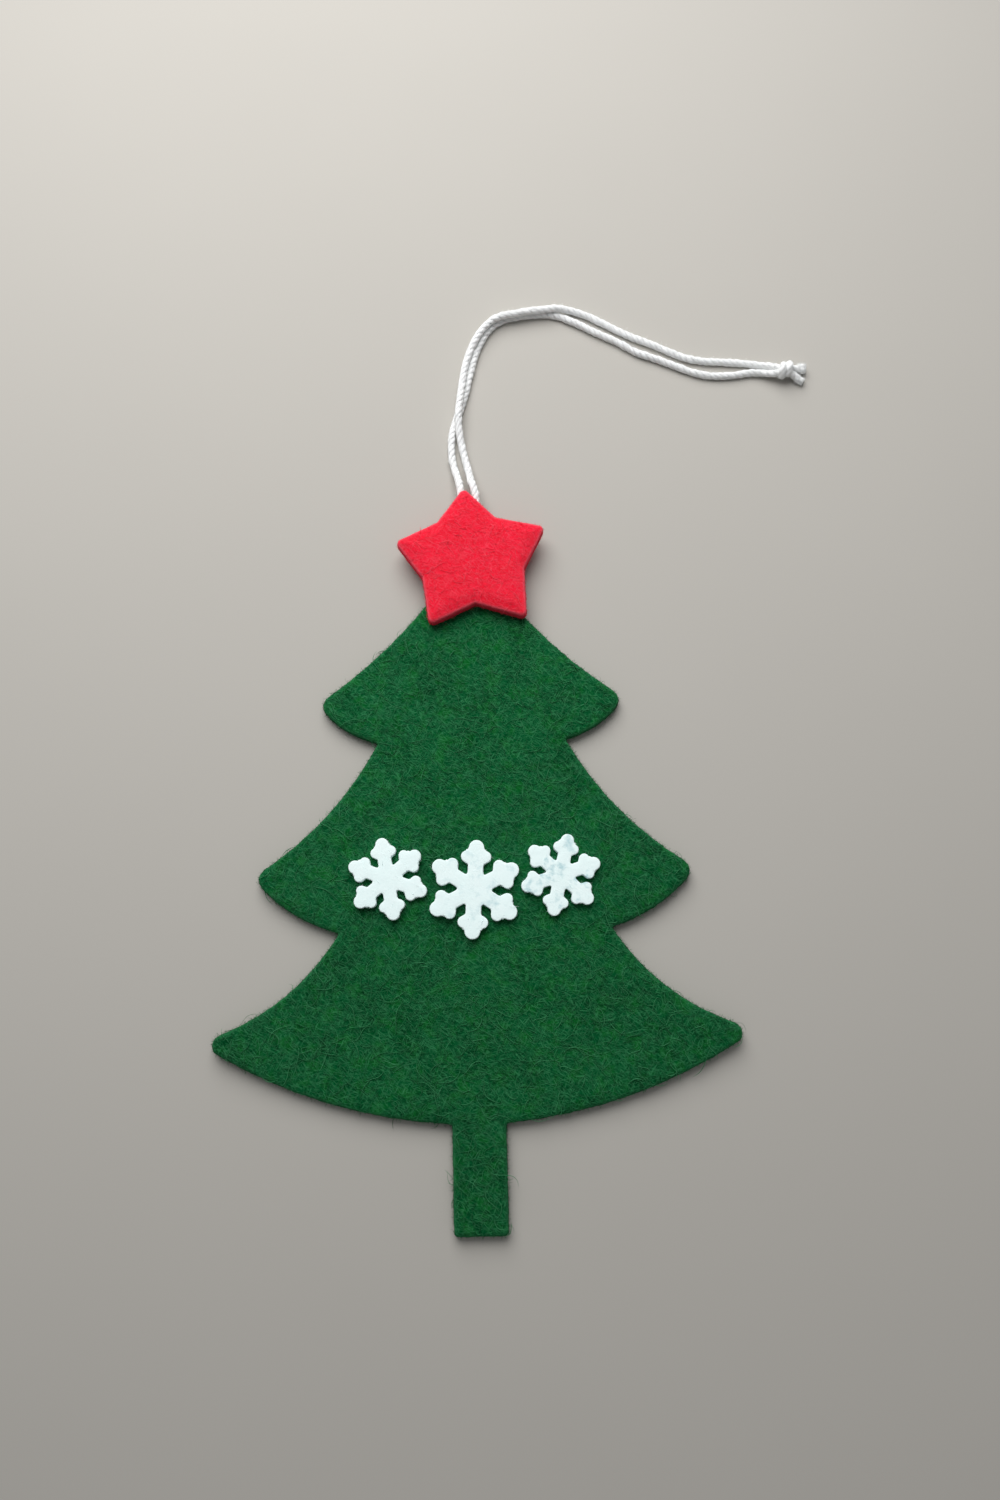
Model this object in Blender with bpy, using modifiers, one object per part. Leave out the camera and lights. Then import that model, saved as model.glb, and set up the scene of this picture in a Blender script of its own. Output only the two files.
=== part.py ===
"""A felt Christmas tree ornament, lying on its back.

A tree cut from green felt carries a thicker red felt star over its apex and three white felt
snowflakes across its middle, each held by glue. A loop of cotton twine is trapped under the star,
and its two strands lie in a loose bend and end in one overhand knot.

Metres. +X is the tree's right, +Y runs up the tree and +Z out of its front. The origin lies on the
back face, at the middle of the box round the tree and the star.
"""

import math

import bmesh
import bpy
from mathutils import Matrix, Vector
from mathutils.geometry import interpolate_bezier

# Fits
SEAT_GAP = 0.0003  # between two pieces that rest on each other
CORD_CLEARANCE = 0.0003  # between the twine and what lies round it
CUT_OVERRUN = 0.001  # how far a cutter runs past the face that it opens

# Green felt tree, whose heights each start from the corner before
TREE_THICKNESS = 0.0025
TREE_EDGE_ROUND = 0.0004
TRUNK_WIDTH = 0.0100
TRUNK_HEIGHT = 0.0196
TRUNK_ROUND = 0.0007
NOTCH_ROUND = 0.0003
LOW_TIP_REACH = 0.0527
LOW_TIP_RISE = 0.0158
LOW_TIP_ROUND = 0.0018
LOW_UNDERSIDE_BULGE = 0.0032
LOW_SIDE_HOLLOW = 0.0032
LOW_NOTCH_REACH = 0.0262
LOW_NOTCH_RISE = 0.0197
MIDDLE_TIP_REACH = 0.0431
MIDDLE_TIP_RISE = 0.0110
MIDDLE_TIP_ROUND = 0.0023
MIDDLE_UNDERSIDE_BULGE = 0.0016
MIDDLE_SIDE_HOLLOW = 0.0024
HIGH_NOTCH_REACH = 0.0186
HIGH_NOTCH_RISE = 0.0262
HIGH_TIP_REACH = 0.0307
HIGH_TIP_RISE = 0.0082
HIGH_TIP_ROUND = 0.0024
HIGH_UNDERSIDE_BULGE = 0.0014
HIGH_SIDE_HOLLOW = 0.0026
APEX_RISE = 0.0332
APEX_ROUND = 0.0012

# Red felt star, cut by hand, so no two of its points reach equally far
STAR_THICKNESS = 0.0030
STAR_EDGE_ROUND = 0.0006
STAR_REACH = 0.0163
STAR_NOTCH_REACH = 0.0104
STAR_TIP_ROUND = 0.0010
STAR_NOTCH_ROUND = 0.0004
STAR_BELOW_APEX = 0.0040
STAR_OFFSET = 0.0006
STAR_TURN = math.radians(4.5)
STAR_TIP_SHARES = (0.94, 0.975, 1.015, 1.045, 1.025)
STAR_NOTCH_SHARES = (0.995, 1.03, 0.935, 1.07, 0.97)

# White felt snowflakes, in a band above the lower notches
FLAKE_THICKNESS = 0.0012
FLAKE_ARMS = 6
MIDDLE_FLAKE_REACH = 0.0095
MIDDLE_FLAKE_ARM_WIDTH = 0.0030
MIDDLE_FLAKE_TURN = math.radians(-4)
SIDE_FLAKE_REACH = 0.0080
SIDE_FLAKE_ARM_WIDTH = 0.0026
LEFT_FLAKE_TURN = math.radians(9)
RIGHT_FLAKE_TURN = math.radians(-13)
FLAKE_SPACING = 0.0167
FLAKE_BAND_RISE = 0.0077
SIDE_FLAKE_LIFT = 0.0024
BRANCH_PLACE_SHARE = 0.55  # of the arm's reach
BRANCH_LENGTH_SHARE = 0.34  # of the arm's reach
BRANCH_WIDTH_SHARE = 0.76  # of the arm's width
FLAKE_NOTCH_ROUND_SHARE = 0.12  # of the arm's width

# Hot-melt glue
GLUE_THICKNESS = 0.0004
STAR_GLUE_RADIUS = 0.0018
STAR_GLUE_SPACING = 0.0116
STAR_GLUE_DROP = 0.0064
FLAKE_GLUE_SHARE = 0.5  # of the arm's width
GLUE_RIM_SHARE = 0.45  # of the dab's thickness
GLUE_SIDES = 20

# Cotton twine: its turn under the star, which the star is pressed hollow over
CORD_DIAMETER = 0.0012
BIGHT_RADIUS = 0.0024
BIGHT_LEG = 0.0129
BIGHT_MOUTH = 0.0032
BIGHT_OFFSET = 0.0003
BIGHT_DROP = 0.0011
BIGHT_TURN = math.radians(2.3)
BIGHT_STEPS = 12

# The free strands, from under the star to the knot. The right one climbs over the left one.
STRAND_STEP = 0.0027
LEFT_STRAND_ROUTE = (
    (-0.00120, 0.0695, 0.00340),
    (-0.00125, 0.0720, 0.00340),
    (-0.00145, 0.0741, 0.00310),
    (-0.00190, 0.0763, 0.00210),
    (-0.00245, 0.0786, 0.00115),
    (-0.00295, 0.0809, 0.00075),
    (-0.00315, 0.0833, 0.00065),
    (-0.00305, 0.0859, 0.00065),
    (-0.00260, 0.0882, 0.00065),
    (-0.00185, 0.0906, 0.00065),
    (-0.00095, 0.0929, 0.00065),
    (-0.00025, 0.0951, 0.00065),
    (0.00035, 0.0973, 0.00065),
    (0.00080, 0.0995, 0.00065),
    (0.00130, 0.1016, 0.00065),
    (0.00200, 0.1041, 0.00065),
    (0.00280, 0.1065, 0.00065),
    (0.00395, 0.1089, 0.00065),
    (0.00525, 0.1110, 0.00065),
    (0.00680, 0.1125, 0.00065),
    (0.00865, 0.1136, 0.00065),
    (0.01090, 0.1142, 0.00065),
    (0.01330, 0.1145, 0.00065),
    (0.01570, 0.1147, 0.00065),
    (0.01800, 0.1147, 0.00065),
    (0.02020, 0.1143, 0.00065),
    (0.02230, 0.1135, 0.00065),
    (0.02520, 0.1120, 0.00065),
    (0.02900, 0.1099, 0.00065),
    (0.03340, 0.1076, 0.00065),
    (0.03720, 0.1052, 0.00065),
    (0.04140, 0.1035, 0.00065),
    (0.04530, 0.1018, 0.00065),
    (0.04930, 0.1001, 0.00065),
    (0.05330, 0.0992, 0.00065),
    (0.05750, 0.0992, 0.00065),
    (0.06130, 0.0997, 0.00065),
    (0.06400, 0.0995, 0.00090),
    (0.06655, 0.0990, 0.00160),
)
RIGHT_STRAND_ROUTE = (
    (0.00195, 0.0697, 0.00340),
    (0.00180, 0.0718, 0.00340),
    (0.00135, 0.0738, 0.00315),
    (0.00085, 0.0758, 0.00235),
    (0.00040, 0.0782, 0.00145),
    (-0.00015, 0.0806, 0.00100),
    (-0.00075, 0.0832, 0.00095),
    (-0.00115, 0.0855, 0.00125),
    (-0.00145, 0.0880, 0.00175),
    (-0.00150, 0.0904, 0.00205),
    (-0.00135, 0.0927, 0.00205),
    (-0.00100, 0.0950, 0.00195),
    (-0.00065, 0.0974, 0.00175),
    (-0.00030, 0.0998, 0.00160),
    (0.00015, 0.1021, 0.00155),
    (0.00085, 0.1045, 0.00160),
    (0.00180, 0.1069, 0.00180),
    (0.00305, 0.1092, 0.00195),
    (0.00460, 0.1113, 0.00200),
    (0.00645, 0.1129, 0.00205),
    (0.00860, 0.1138, 0.00205),
    (0.01100, 0.1142, 0.00205),
    (0.01340, 0.1146, 0.00205),
    (0.01590, 0.1149, 0.00205),
    (0.01835, 0.1152, 0.00200),
    (0.02070, 0.1154, 0.00170),
    (0.02290, 0.1153, 0.00110),
    (0.02495, 0.1149, 0.00075),
    (0.02720, 0.1140, 0.00065),
    (0.02970, 0.1126, 0.00065),
    (0.03290, 0.1107, 0.00065),
    (0.03650, 0.1088, 0.00065),
    (0.04030, 0.1071, 0.00065),
    (0.04400, 0.1053, 0.00065),
    (0.04740, 0.1037, 0.00065),
    (0.05080, 0.1028, 0.00065),
    (0.05560, 0.1024, 0.00065),
    (0.06050, 0.1019, 0.00065),
    (0.06400, 0.1012, 0.00090),
    (0.06665, 0.1004, 0.00160),
)

# The knot, whose own +X runs on from the strands
KNOT_PLACE = (0.0687, 0.0995, 0.0019)
KNOT_TURN = math.radians(-7)
KNOT_CORE_LENGTH = 0.0037
KNOT_CORE_WIDTH = 0.0027
KNOT_CORE_HEIGHT = 0.0023
KNOT_WIDTH = 0.0042
KNOT_HEIGHT = 0.0037
WRAP_TURNS = 2.25
WRAP_PITCH = 0.0015
WRAP_TURN_STEPS = 14
WRAP_END_SHARE = 0.45  # how near the axis the wrap's two ends are tucked
CORE_SEGMENTS = 20
CORE_RINGS = 12
TAIL_END_SHARE = 1.15  # how far a cut end has opened
LEFT_TAIL_ROUTE = (
    (0.0004, 0.0003, 0.0001),
    (0.0014, 0.0006, -0.0002),
    (0.0024, 0.0009, -0.0007),
    (0.0034, 0.0012, -0.0011),
    (0.0046, 0.0014, -0.00115),
)
RIGHT_TAIL_ROUTE = (
    (0.0004, -0.0003, 0.0001),
    (0.0014, -0.0006, -0.0002),
    (0.0023, -0.0009, -0.0007),
    (0.0032, -0.0013, -0.0011),
    (0.0043, -0.0017, -0.00115),
)

# How finely rounds are cut
CORNER_STEP = math.radians(24)
BULGE_STEPS = 8
ROUTE_STEPS = 8
WELD_DISTANCE = 0.000001
SHARP_ANGLE = math.radians(50)

# Where the seats lie
SEAT = TREE_THICKNESS + SEAT_GAP
BIGHT_TOP = SEAT + CORD_DIAMETER + CORD_CLEARANCE


def material(name, colour, roughness):
    """An opaque finish of one colour."""
    finish = bpy.data.materials.new(name)
    finish.use_nodes = True
    shader = finish.node_tree.nodes["Principled BSDF"]
    shader.inputs["Base Color"].default_value = (*colour, 1)
    shader.inputs["Roughness"].default_value = roughness
    shader.inputs["Metallic"].default_value = 0
    return finish


def outline(corners):
    """Points of a closed outline, anticlockwise.

    A corner is (place, radius, bulge). The radius rounds it off. The bulge is how far the edge from
    there to the next corner swells outwards, or hollows where it is negative.
    """
    edges = []
    for index, (place, _, bulge) in enumerate(corners):
        start = Vector(place)
        end = Vector(corners[(index + 1) % len(corners)][0])
        along = (end - start).normalized()
        outward = Vector((along.y, -along.x))
        edges.append((start, (start + end) / 2 + outward * 2 * bulge, end))
    turns = []
    for index, (start, control, _) in enumerate(edges):
        arriving = start - edges[index - 1][1]
        turns.append(arriving.angle(control - start))
    setbacks = [radius * math.tan(turn / 2) for (_, radius, _), turn in zip(corners, turns)]
    spans = []
    for index, (start, control, end) in enumerate(edges):
        length = (end - start).length
        first = setbacks[index] / length
        last = 1 - setbacks[(index + 1) % len(edges)] / length
        steps = BULGE_STEPS if corners[index][2] else 1
        shares = [first + (last - first) * step / steps for step in range(steps + 1)]
        spans.append([bend(start, control, end, 1, share) for share in shares])
    points = []
    for index, span in enumerate(spans):
        steps = max(2, round(turns[index] / CORNER_STEP))
        corner = edges[index][0]
        weight = math.cos(turns[index] / 2)
        for step in range(1, steps):
            points.append(bend(spans[index - 1][-1], corner, span[0], weight, step / steps))
        points.extend(span)
    return points


def bend(start, control, end, weight, share):
    """A point on the curve from start to end that leans towards control, a true arc at the right weight."""
    before, middle, after = (1 - share) ** 2, 2 * weight * share * (1 - share), share**2
    return (start * before + control * middle + end * after) / (before + middle + after)


def flat_curve(name, points, thickness, edge_round, finish):
    """A flat piece of even thickness with rounded edges, centred on its own XY plane."""
    data = bpy.data.curves.new(name, "CURVE")
    data.dimensions = "2D"
    data.fill_mode = "BOTH"
    data.extrude = thickness / 2 - edge_round
    data.bevel_depth = edge_round
    data.bevel_resolution = 1
    data.offset = -edge_round
    spline = data.splines.new("POLY")
    spline.points.add(len(points) - 1)
    for spline_point, point in zip(spline.points, points):
        spline_point.co = (point.x, point.y, 0, 1)
    spline.use_cyclic_u = True
    data.materials.append(finish)
    return bpy.data.objects.new(name, data)


def tube(name, points, diameter, finish):
    """A round cord through the points, with closed ends."""
    data = bpy.data.curves.new(name, "CURVE")
    data.dimensions = "3D"
    data.bevel_depth = diameter / 2
    data.bevel_resolution = 2
    data.use_fill_caps = True
    spline = data.splines.new("POLY")
    spline.points.add(len(points) - 1)
    for spline_point, point in zip(spline.points, points):
        spline_point.co = (*point, 1)
    data.materials.append(finish)
    return bpy.data.objects.new(name, data)


def smooth_route(route, spacing):
    """Evenly spaced points on a smooth curve through the route's own points."""
    places = [Vector(point) for point in route]
    padded = [2 * places[0] - places[1], *places, 2 * places[-1] - places[-2]]
    fine = [places[0]]
    for before, start, end, after in zip(padded, padded[1:], padded[2:], padded[3:]):
        leave = start + (end - before) / 6
        arrive = end - (after - start) / 6
        fine.extend(interpolate_bezier(start, leave, arrive, end, ROUTE_STEPS + 1)[1:])
    reached = [0]
    for here, there in zip(fine, fine[1:]):
        reached.append(reached[-1] + (there - here).length)
    count = max(1, round(reached[-1] / spacing))
    points = []
    index = 0
    for step in range(count):
        target = reached[-1] * step / count
        while reached[index + 1] < target:
            index += 1
        share = (target - reached[index]) / (reached[index + 1] - reached[index])
        points.append(fine[index].lerp(fine[index + 1], share))
    return [*points, fine[-1]]


def as_mesh(curve_object, collection):
    """Turns a curve object into a mesh object of the same name and place, its caps welded on."""
    collection.objects.link(curve_object)
    graph = bpy.context.evaluated_depsgraph_get()
    mesh = bpy.data.meshes.new_from_object(curve_object.evaluated_get(graph))
    shape = bmesh.new()
    shape.from_mesh(mesh)
    bmesh.ops.remove_doubles(shape, verts=shape.verts, dist=WELD_DISTANCE)
    shape.to_mesh(mesh)
    shape.free()
    mesh.shade_smooth()
    mesh.set_sharp_from_angle(angle=SHARP_ANGLE)
    name = curve_object.name
    place = curve_object.matrix_world.copy()
    bpy.data.objects.remove(curve_object)
    mesh_object = bpy.data.objects.new(name, mesh)
    mesh_object.matrix_world = place
    collection.objects.link(mesh_object)
    return mesh_object


def combine(target, operand, operation):
    """Cuts the operand out of the target, or joins it on."""
    operand.hide_render = True
    operand.display_type = "WIRE"
    boolean = target.modifiers.new(operand.name, "BOOLEAN")
    boolean.object = operand
    boolean.operation = operation
    boolean.solver = "EXACT"


def cylinder(name, radius, height, place, collection):
    """An upright cylinder whose foot is centred on the place."""
    mesh = bpy.data.meshes.new(name)
    shape = bmesh.new()
    bmesh.ops.create_cone(
        shape, cap_ends=True, segments=GLUE_SIDES, radius1=radius, radius2=radius, depth=height
    )
    shape.to_mesh(mesh)
    shape.free()
    disc = bpy.data.objects.new(name, mesh)
    disc.location = Vector(place) + Vector((0, 0, height / 2))
    collection.objects.link(disc)
    return disc


def glue_dab(name, radius, thickness, place, finish, collection):
    """A pressed drop of glue that stands on the tree's front, with a rounded rim."""
    dab = cylinder(name, radius, thickness, (*place, SEAT), collection)
    dab.data.materials.append(finish)
    dab.data.shade_smooth()
    dab.data.set_sharp_from_angle(angle=SHARP_ANGLE)
    rim = dab.modifiers.new("rim", "BEVEL")
    rim.width = thickness * GLUE_RIM_SHARE
    rim.segments = 2


def press_pocket(felt, radius, depth, place, cutters):
    """Hollows the underside of a felt piece over a dab of glue, and leaves the seat gap round it."""
    foot = (*place, SEAT - CUT_OVERRUN)
    height = CUT_OVERRUN + depth + SEAT_GAP
    pocket = cylinder(f"{felt.name}_pocket", radius + SEAT_GAP, height, foot, cutters)
    combine(felt, pocket, "DIFFERENCE")


def tree_corners():
    """The tree's corners from the trunk's foot up the right side to the apex, and down the left side."""
    low_tip = TRUNK_HEIGHT + LOW_TIP_RISE
    low_notch = low_tip + LOW_NOTCH_RISE
    middle_tip = low_notch + MIDDLE_TIP_RISE
    high_notch = middle_tip + HIGH_NOTCH_RISE
    high_tip = high_notch + HIGH_TIP_RISE
    right = [
        ((TRUNK_WIDTH / 2, 0), TRUNK_ROUND, 0),
        ((TRUNK_WIDTH / 2, TRUNK_HEIGHT), NOTCH_ROUND, LOW_UNDERSIDE_BULGE),
        ((LOW_TIP_REACH, low_tip), LOW_TIP_ROUND, -LOW_SIDE_HOLLOW),
        ((LOW_NOTCH_REACH, low_notch), NOTCH_ROUND, MIDDLE_UNDERSIDE_BULGE),
        ((MIDDLE_TIP_REACH, middle_tip), MIDDLE_TIP_ROUND, -MIDDLE_SIDE_HOLLOW),
        ((HIGH_NOTCH_REACH, high_notch), NOTCH_ROUND, HIGH_UNDERSIDE_BULGE),
        ((HIGH_TIP_REACH, high_tip), HIGH_TIP_ROUND, -HIGH_SIDE_HOLLOW),
    ]
    apex = ((0, high_tip + APEX_RISE), APEX_ROUND, -HIGH_SIDE_HOLLOW)
    bulges_below = [0, *(bulge for _, _, bulge in right)]
    left = []
    for ((x, y), radius, _), bulge_below in zip(right, bulges_below):
        left.insert(0, ((-x, y), radius, bulge_below))
    return [*right, apex, *left]


def low_notch_height():
    """Height of the lower notches above the trunk's foot."""
    return TRUNK_HEIGHT + LOW_TIP_RISE + LOW_NOTCH_RISE


def star_centre_height():
    """Height of the star's centre above the trunk's foot."""
    high_tip = low_notch_height() + MIDDLE_TIP_RISE + HIGH_NOTCH_RISE + HIGH_TIP_RISE
    return high_tip + APEX_RISE - STAR_BELOW_APEX


def star_points():
    """The star's outline about its own centre, turned as it is glued."""
    corners = []
    for index, (tip_share, notch_share) in enumerate(zip(STAR_TIP_SHARES, STAR_NOTCH_SHARES)):
        tip_angle = STAR_TURN + index * math.tau / len(STAR_TIP_SHARES)
        notch_angle = tip_angle + math.pi / len(STAR_TIP_SHARES)
        tip = Matrix.Rotation(tip_angle, 2) @ Vector((0, STAR_REACH * tip_share))
        notch = Matrix.Rotation(notch_angle, 2) @ Vector((0, STAR_NOTCH_REACH * notch_share))
        corners.append((tip, STAR_TIP_ROUND, 0))
        corners.append((notch, STAR_NOTCH_ROUND, 0))
    return outline(corners)


def flake_points(reach, arm_width):
    """A snowflake's outline: round-ended arms, each with one pair of round-ended branches."""
    half = arm_width / 2
    branch_half = half * BRANCH_WIDTH_SHARE
    notch_round = arm_width * FLAKE_NOTCH_ROUND_SHARE
    sector = math.tau / FLAKE_ARMS
    lean = Vector((math.sin(sector), math.cos(sector)))
    across = Vector((lean.y, -lean.x))
    root = Vector((0, reach * BRANCH_PLACE_SHARE))
    end = root + lean * reach * BRANCH_LENGTH_SHARE
    inner_meeting = (half - branch_half * across.x) / lean.x
    outer_meeting = (half + branch_half * across.x) / lean.x
    right = [
        (Vector((half, half / math.tan(sector / 2))), notch_round, 0),
        (root + across * branch_half + lean * inner_meeting, notch_round, 0),
        (end + across * branch_half, branch_half, 0),
        (end - across * branch_half, branch_half, 0),
        (root - across * branch_half + lean * outer_meeting, notch_round, 0),
        (Vector((half, reach)), half, 0),
    ]
    left = [(Vector((-place.x, place.y)), radius, 0) for place, radius, _ in reversed(right[1:])]
    corners = []
    for arm in range(FLAKE_ARMS):
        turn = Matrix.Rotation(arm * sector, 2)
        corners.extend((turn @ place, radius, 0) for place, radius, _ in right + left)
    return outline(corners)


def bight_points(radius, leg):
    """A loop open at its top, about its turn's centre: down the left leg, round and up the right leg."""
    mouth = Vector((BIGHT_MOUTH / 2, BIGHT_LEG))
    tangent = math.atan2(mouth.y, mouth.x) - math.acos(BIGHT_RADIUS / mouth.length)
    sweep = math.pi + 2 * tangent
    turn = []
    for step in range(BIGHT_STEPS + 1):
        angle = math.pi - tangent + sweep * step / BIGHT_STEPS
        turn.append(Vector((math.cos(angle), math.sin(angle))) * radius)
    left_leg = Vector((math.sin(tangent), math.cos(tangent))) * leg
    right_leg = Vector((-left_leg.x, left_leg.y))
    return [turn[0] + left_leg, *turn, turn[-1] + right_leg]


def add_tree(finish, foot, parts):
    """The green tree, its back on the ground plane."""
    points = outline(tree_corners())
    tree = flat_curve("tree_felt", points, TREE_THICKNESS, TREE_EDGE_ROUND, finish)
    tree.location = (0, foot, TREE_THICKNESS / 2)
    parts.objects.link(tree)


def add_star(finish, glue, centre, parts, cutters):
    """The red star, hollowed over the twine's turn and over its two dabs of glue."""
    star = flat_curve("star_felt", star_points(), STAR_THICKNESS, STAR_EDGE_ROUND, finish)
    star.location = (*centre, SEAT + STAR_THICKNESS / 2)
    bpy.context.view_layer.update()
    star = as_mesh(star, parts)

    ring = BIGHT_RADIUS + CORD_DIAMETER / 2 + CORD_CLEARANCE
    depth = BIGHT_TOP - SEAT + CUT_OVERRUN
    hollow = flat_curve("star_hollow", bight_points(ring, 2 * STAR_REACH), depth, 0, finish)
    hollow.matrix_world = bight_place(centre, BIGHT_TOP - depth / 2)
    combine(star, as_mesh(hollow, cutters), "DIFFERENCE")

    for side, name in ((-1, "star_glue_left"), (1, "star_glue_right")):
        place = (centre.x + side * STAR_GLUE_SPACING / 2, centre.y - STAR_GLUE_DROP)
        glue_dab(name, STAR_GLUE_RADIUS, GLUE_THICKNESS, place, glue, parts)
        press_pocket(star, STAR_GLUE_RADIUS, GLUE_THICKNESS, place, cutters)


def bight_place(centre, height):
    """Where the twine's turn lies under the star, its own +Y towards the star's upper tip."""
    place = Vector((centre.x + BIGHT_OFFSET, centre.y - BIGHT_DROP, height))
    return Matrix.Translation(place) @ Matrix.Rotation(BIGHT_TURN, 4, "Z")


def add_flake(name, reach, arm_width, turn, place, finish, glue, parts, cutters):
    """One white snowflake, pressed down over its dab of glue."""
    flake = flat_curve(name, flake_points(reach, arm_width), FLAKE_THICKNESS, 0, finish)
    flake.location = (*place, SEAT + FLAKE_THICKNESS / 2)
    flake.rotation_euler = (0, 0, turn)
    bpy.context.view_layer.update()
    flake = as_mesh(flake, parts)
    radius = arm_width * FLAKE_GLUE_SHARE
    glue_dab(f"{name}_glue", radius, GLUE_THICKNESS, place, glue, parts)
    press_pocket(flake, radius, GLUE_THICKNESS, place, cutters)


def add_bight(finish, glue, centre, parts):
    """The twine's turn between tree and star, and the glue in its eye."""
    place = bight_place(centre, SEAT + CORD_DIAMETER / 2)
    mouth = Vector((BIGHT_MOUTH / 2, BIGHT_LEG))
    leg = math.sqrt(mouth.length_squared - BIGHT_RADIUS**2)
    points = [place @ point.to_3d() for point in bight_points(BIGHT_RADIUS, leg)]
    parts.objects.link(tube("cord_bight", points, CORD_DIAMETER, finish))
    eye = BIGHT_RADIUS - CORD_DIAMETER / 2 - CORD_CLEARANCE
    glue_dab("cord_glue", eye, CORD_DIAMETER, place.translation.xy, glue, parts)


def wrap_points():
    """The twine's turns round the knot's core, both ends tucked in towards the axis."""
    steps = round(WRAP_TURNS * WRAP_TURN_STEPS)
    width = (KNOT_WIDTH - CORD_DIAMETER) / 2
    height = (KNOT_HEIGHT - CORD_DIAMETER) / 2
    points = []
    for step in range(steps + 1):
        share = step / steps
        angle = math.tau * WRAP_TURNS * share
        tuck = min(1, min(share, 1 - share) * 2 * WRAP_TURNS)
        radius = WRAP_END_SHARE + (1 - WRAP_END_SHARE) * tuck
        along = WRAP_PITCH * WRAP_TURNS * (share - 0.5)
        points.append(
            Vector((along, width * radius * math.cos(angle), height * radius * math.sin(angle)))
        )
    return points


def add_knot(finish, parts, cutters):
    """The overhand knot: a core, the twine wrapped round it, and two cut tails that splay apart."""
    place = Matrix.Translation(KNOT_PLACE) @ Matrix.Rotation(KNOT_TURN, 4, "Z")
    mesh = bpy.data.meshes.new("cord_knot")
    shape = bmesh.new()
    bmesh.ops.create_uvsphere(shape, u_segments=CORE_SEGMENTS, v_segments=CORE_RINGS, radius=0.5)
    core_size = (KNOT_CORE_LENGTH, KNOT_CORE_WIDTH, KNOT_CORE_HEIGHT)
    bmesh.ops.scale(shape, verts=shape.verts, vec=core_size)
    shape.to_mesh(mesh)
    shape.free()
    knot = bpy.data.objects.new("cord_knot", mesh)
    knot.matrix_world = place
    knot.data.materials.append(finish)
    knot.data.shade_smooth()
    parts.objects.link(knot)

    wrap = tube("knot_wrap", wrap_points(), CORD_DIAMETER, finish)
    wrap.matrix_world = place
    combine(knot, as_mesh(wrap, cutters), "UNION")
    for name, route in (("left_tail", LEFT_TAIL_ROUTE), ("right_tail", RIGHT_TAIL_ROUTE)):
        points = smooth_route(route, CORD_DIAMETER)
        tail = tube(name, points, CORD_DIAMETER, finish)
        tail.data.splines[0].points[-1].radius = TAIL_END_SHARE
        tail.matrix_world = place
        combine(knot, as_mesh(tail, cutters), "UNION")


def main():
    for scene_object in list(bpy.data.objects):
        bpy.data.objects.remove(scene_object, do_unlink=True)
    parts = bpy.data.collections.new("felt_christmas_tree")
    cutters = bpy.data.collections.new("cutters")
    for collection in (parts, cutters):
        bpy.context.scene.collection.children.link(collection)

    green = material("green_felt", (0.010, 0.095, 0.026), 0.95)
    red = material("red_felt", (0.80, 0.030, 0.045), 0.95)
    white = material("white_felt", (0.78, 0.86, 0.86), 0.95)
    twine = material("cotton_twine", (0.86, 0.86, 0.84), 0.9)
    glue = material("hot_melt_glue", (0.80, 0.78, 0.70), 0.35)

    star_top = star_centre_height() + max(point.y for point in star_points())
    foot = -star_top / 2
    star_centre = Vector((STAR_OFFSET, foot + star_centre_height()))
    add_tree(green, foot, parts)
    add_star(red, glue, star_centre, parts, cutters)

    band = foot + low_notch_height() + FLAKE_BAND_RISE
    side_size = (SIDE_FLAKE_REACH, SIDE_FLAKE_ARM_WIDTH)
    middle_size = (MIDDLE_FLAKE_REACH, MIDDLE_FLAKE_ARM_WIDTH)
    left_place = (-FLAKE_SPACING, band + SIDE_FLAKE_LIFT)
    right_place = (FLAKE_SPACING, band + SIDE_FLAKE_LIFT)
    flakes = (
        ("snowflake_left", side_size, LEFT_FLAKE_TURN, left_place),
        ("snowflake_middle", middle_size, MIDDLE_FLAKE_TURN, (0, band)),
        ("snowflake_right", side_size, RIGHT_FLAKE_TURN, right_place),
    )
    for name, (reach, arm_width), turn, place in flakes:
        add_flake(name, reach, arm_width, turn, place, white, glue, parts, cutters)

    add_bight(twine, glue, star_centre, parts)
    strands = {"cord_left_strand": LEFT_STRAND_ROUTE, "cord_right_strand": RIGHT_STRAND_ROUTE}
    for name, route in strands.items():
        strand = tube(name, smooth_route(route, STRAND_STEP), CORD_DIAMETER, twine)
        parts.objects.link(strand)
    add_knot(twine, parts, cutters)


main()
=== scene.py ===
"""Dresses the felt Christmas tree ornament: felted cloth with a nap of loose fibres, and plied cotton twine.

Run as a script it builds the whole ornament. The panel in the 3D view's sidebar builds one piece again.
Lengths are in metres.
"""

import math
from typing import NamedTuple

import bmesh
import bpy
import numpy as np
from mathutils import Matrix, Vector, kdtree, noise
from mathutils.bvhtree import BVHTree
from mathutils.geometry import interpolate_bezier


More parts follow.
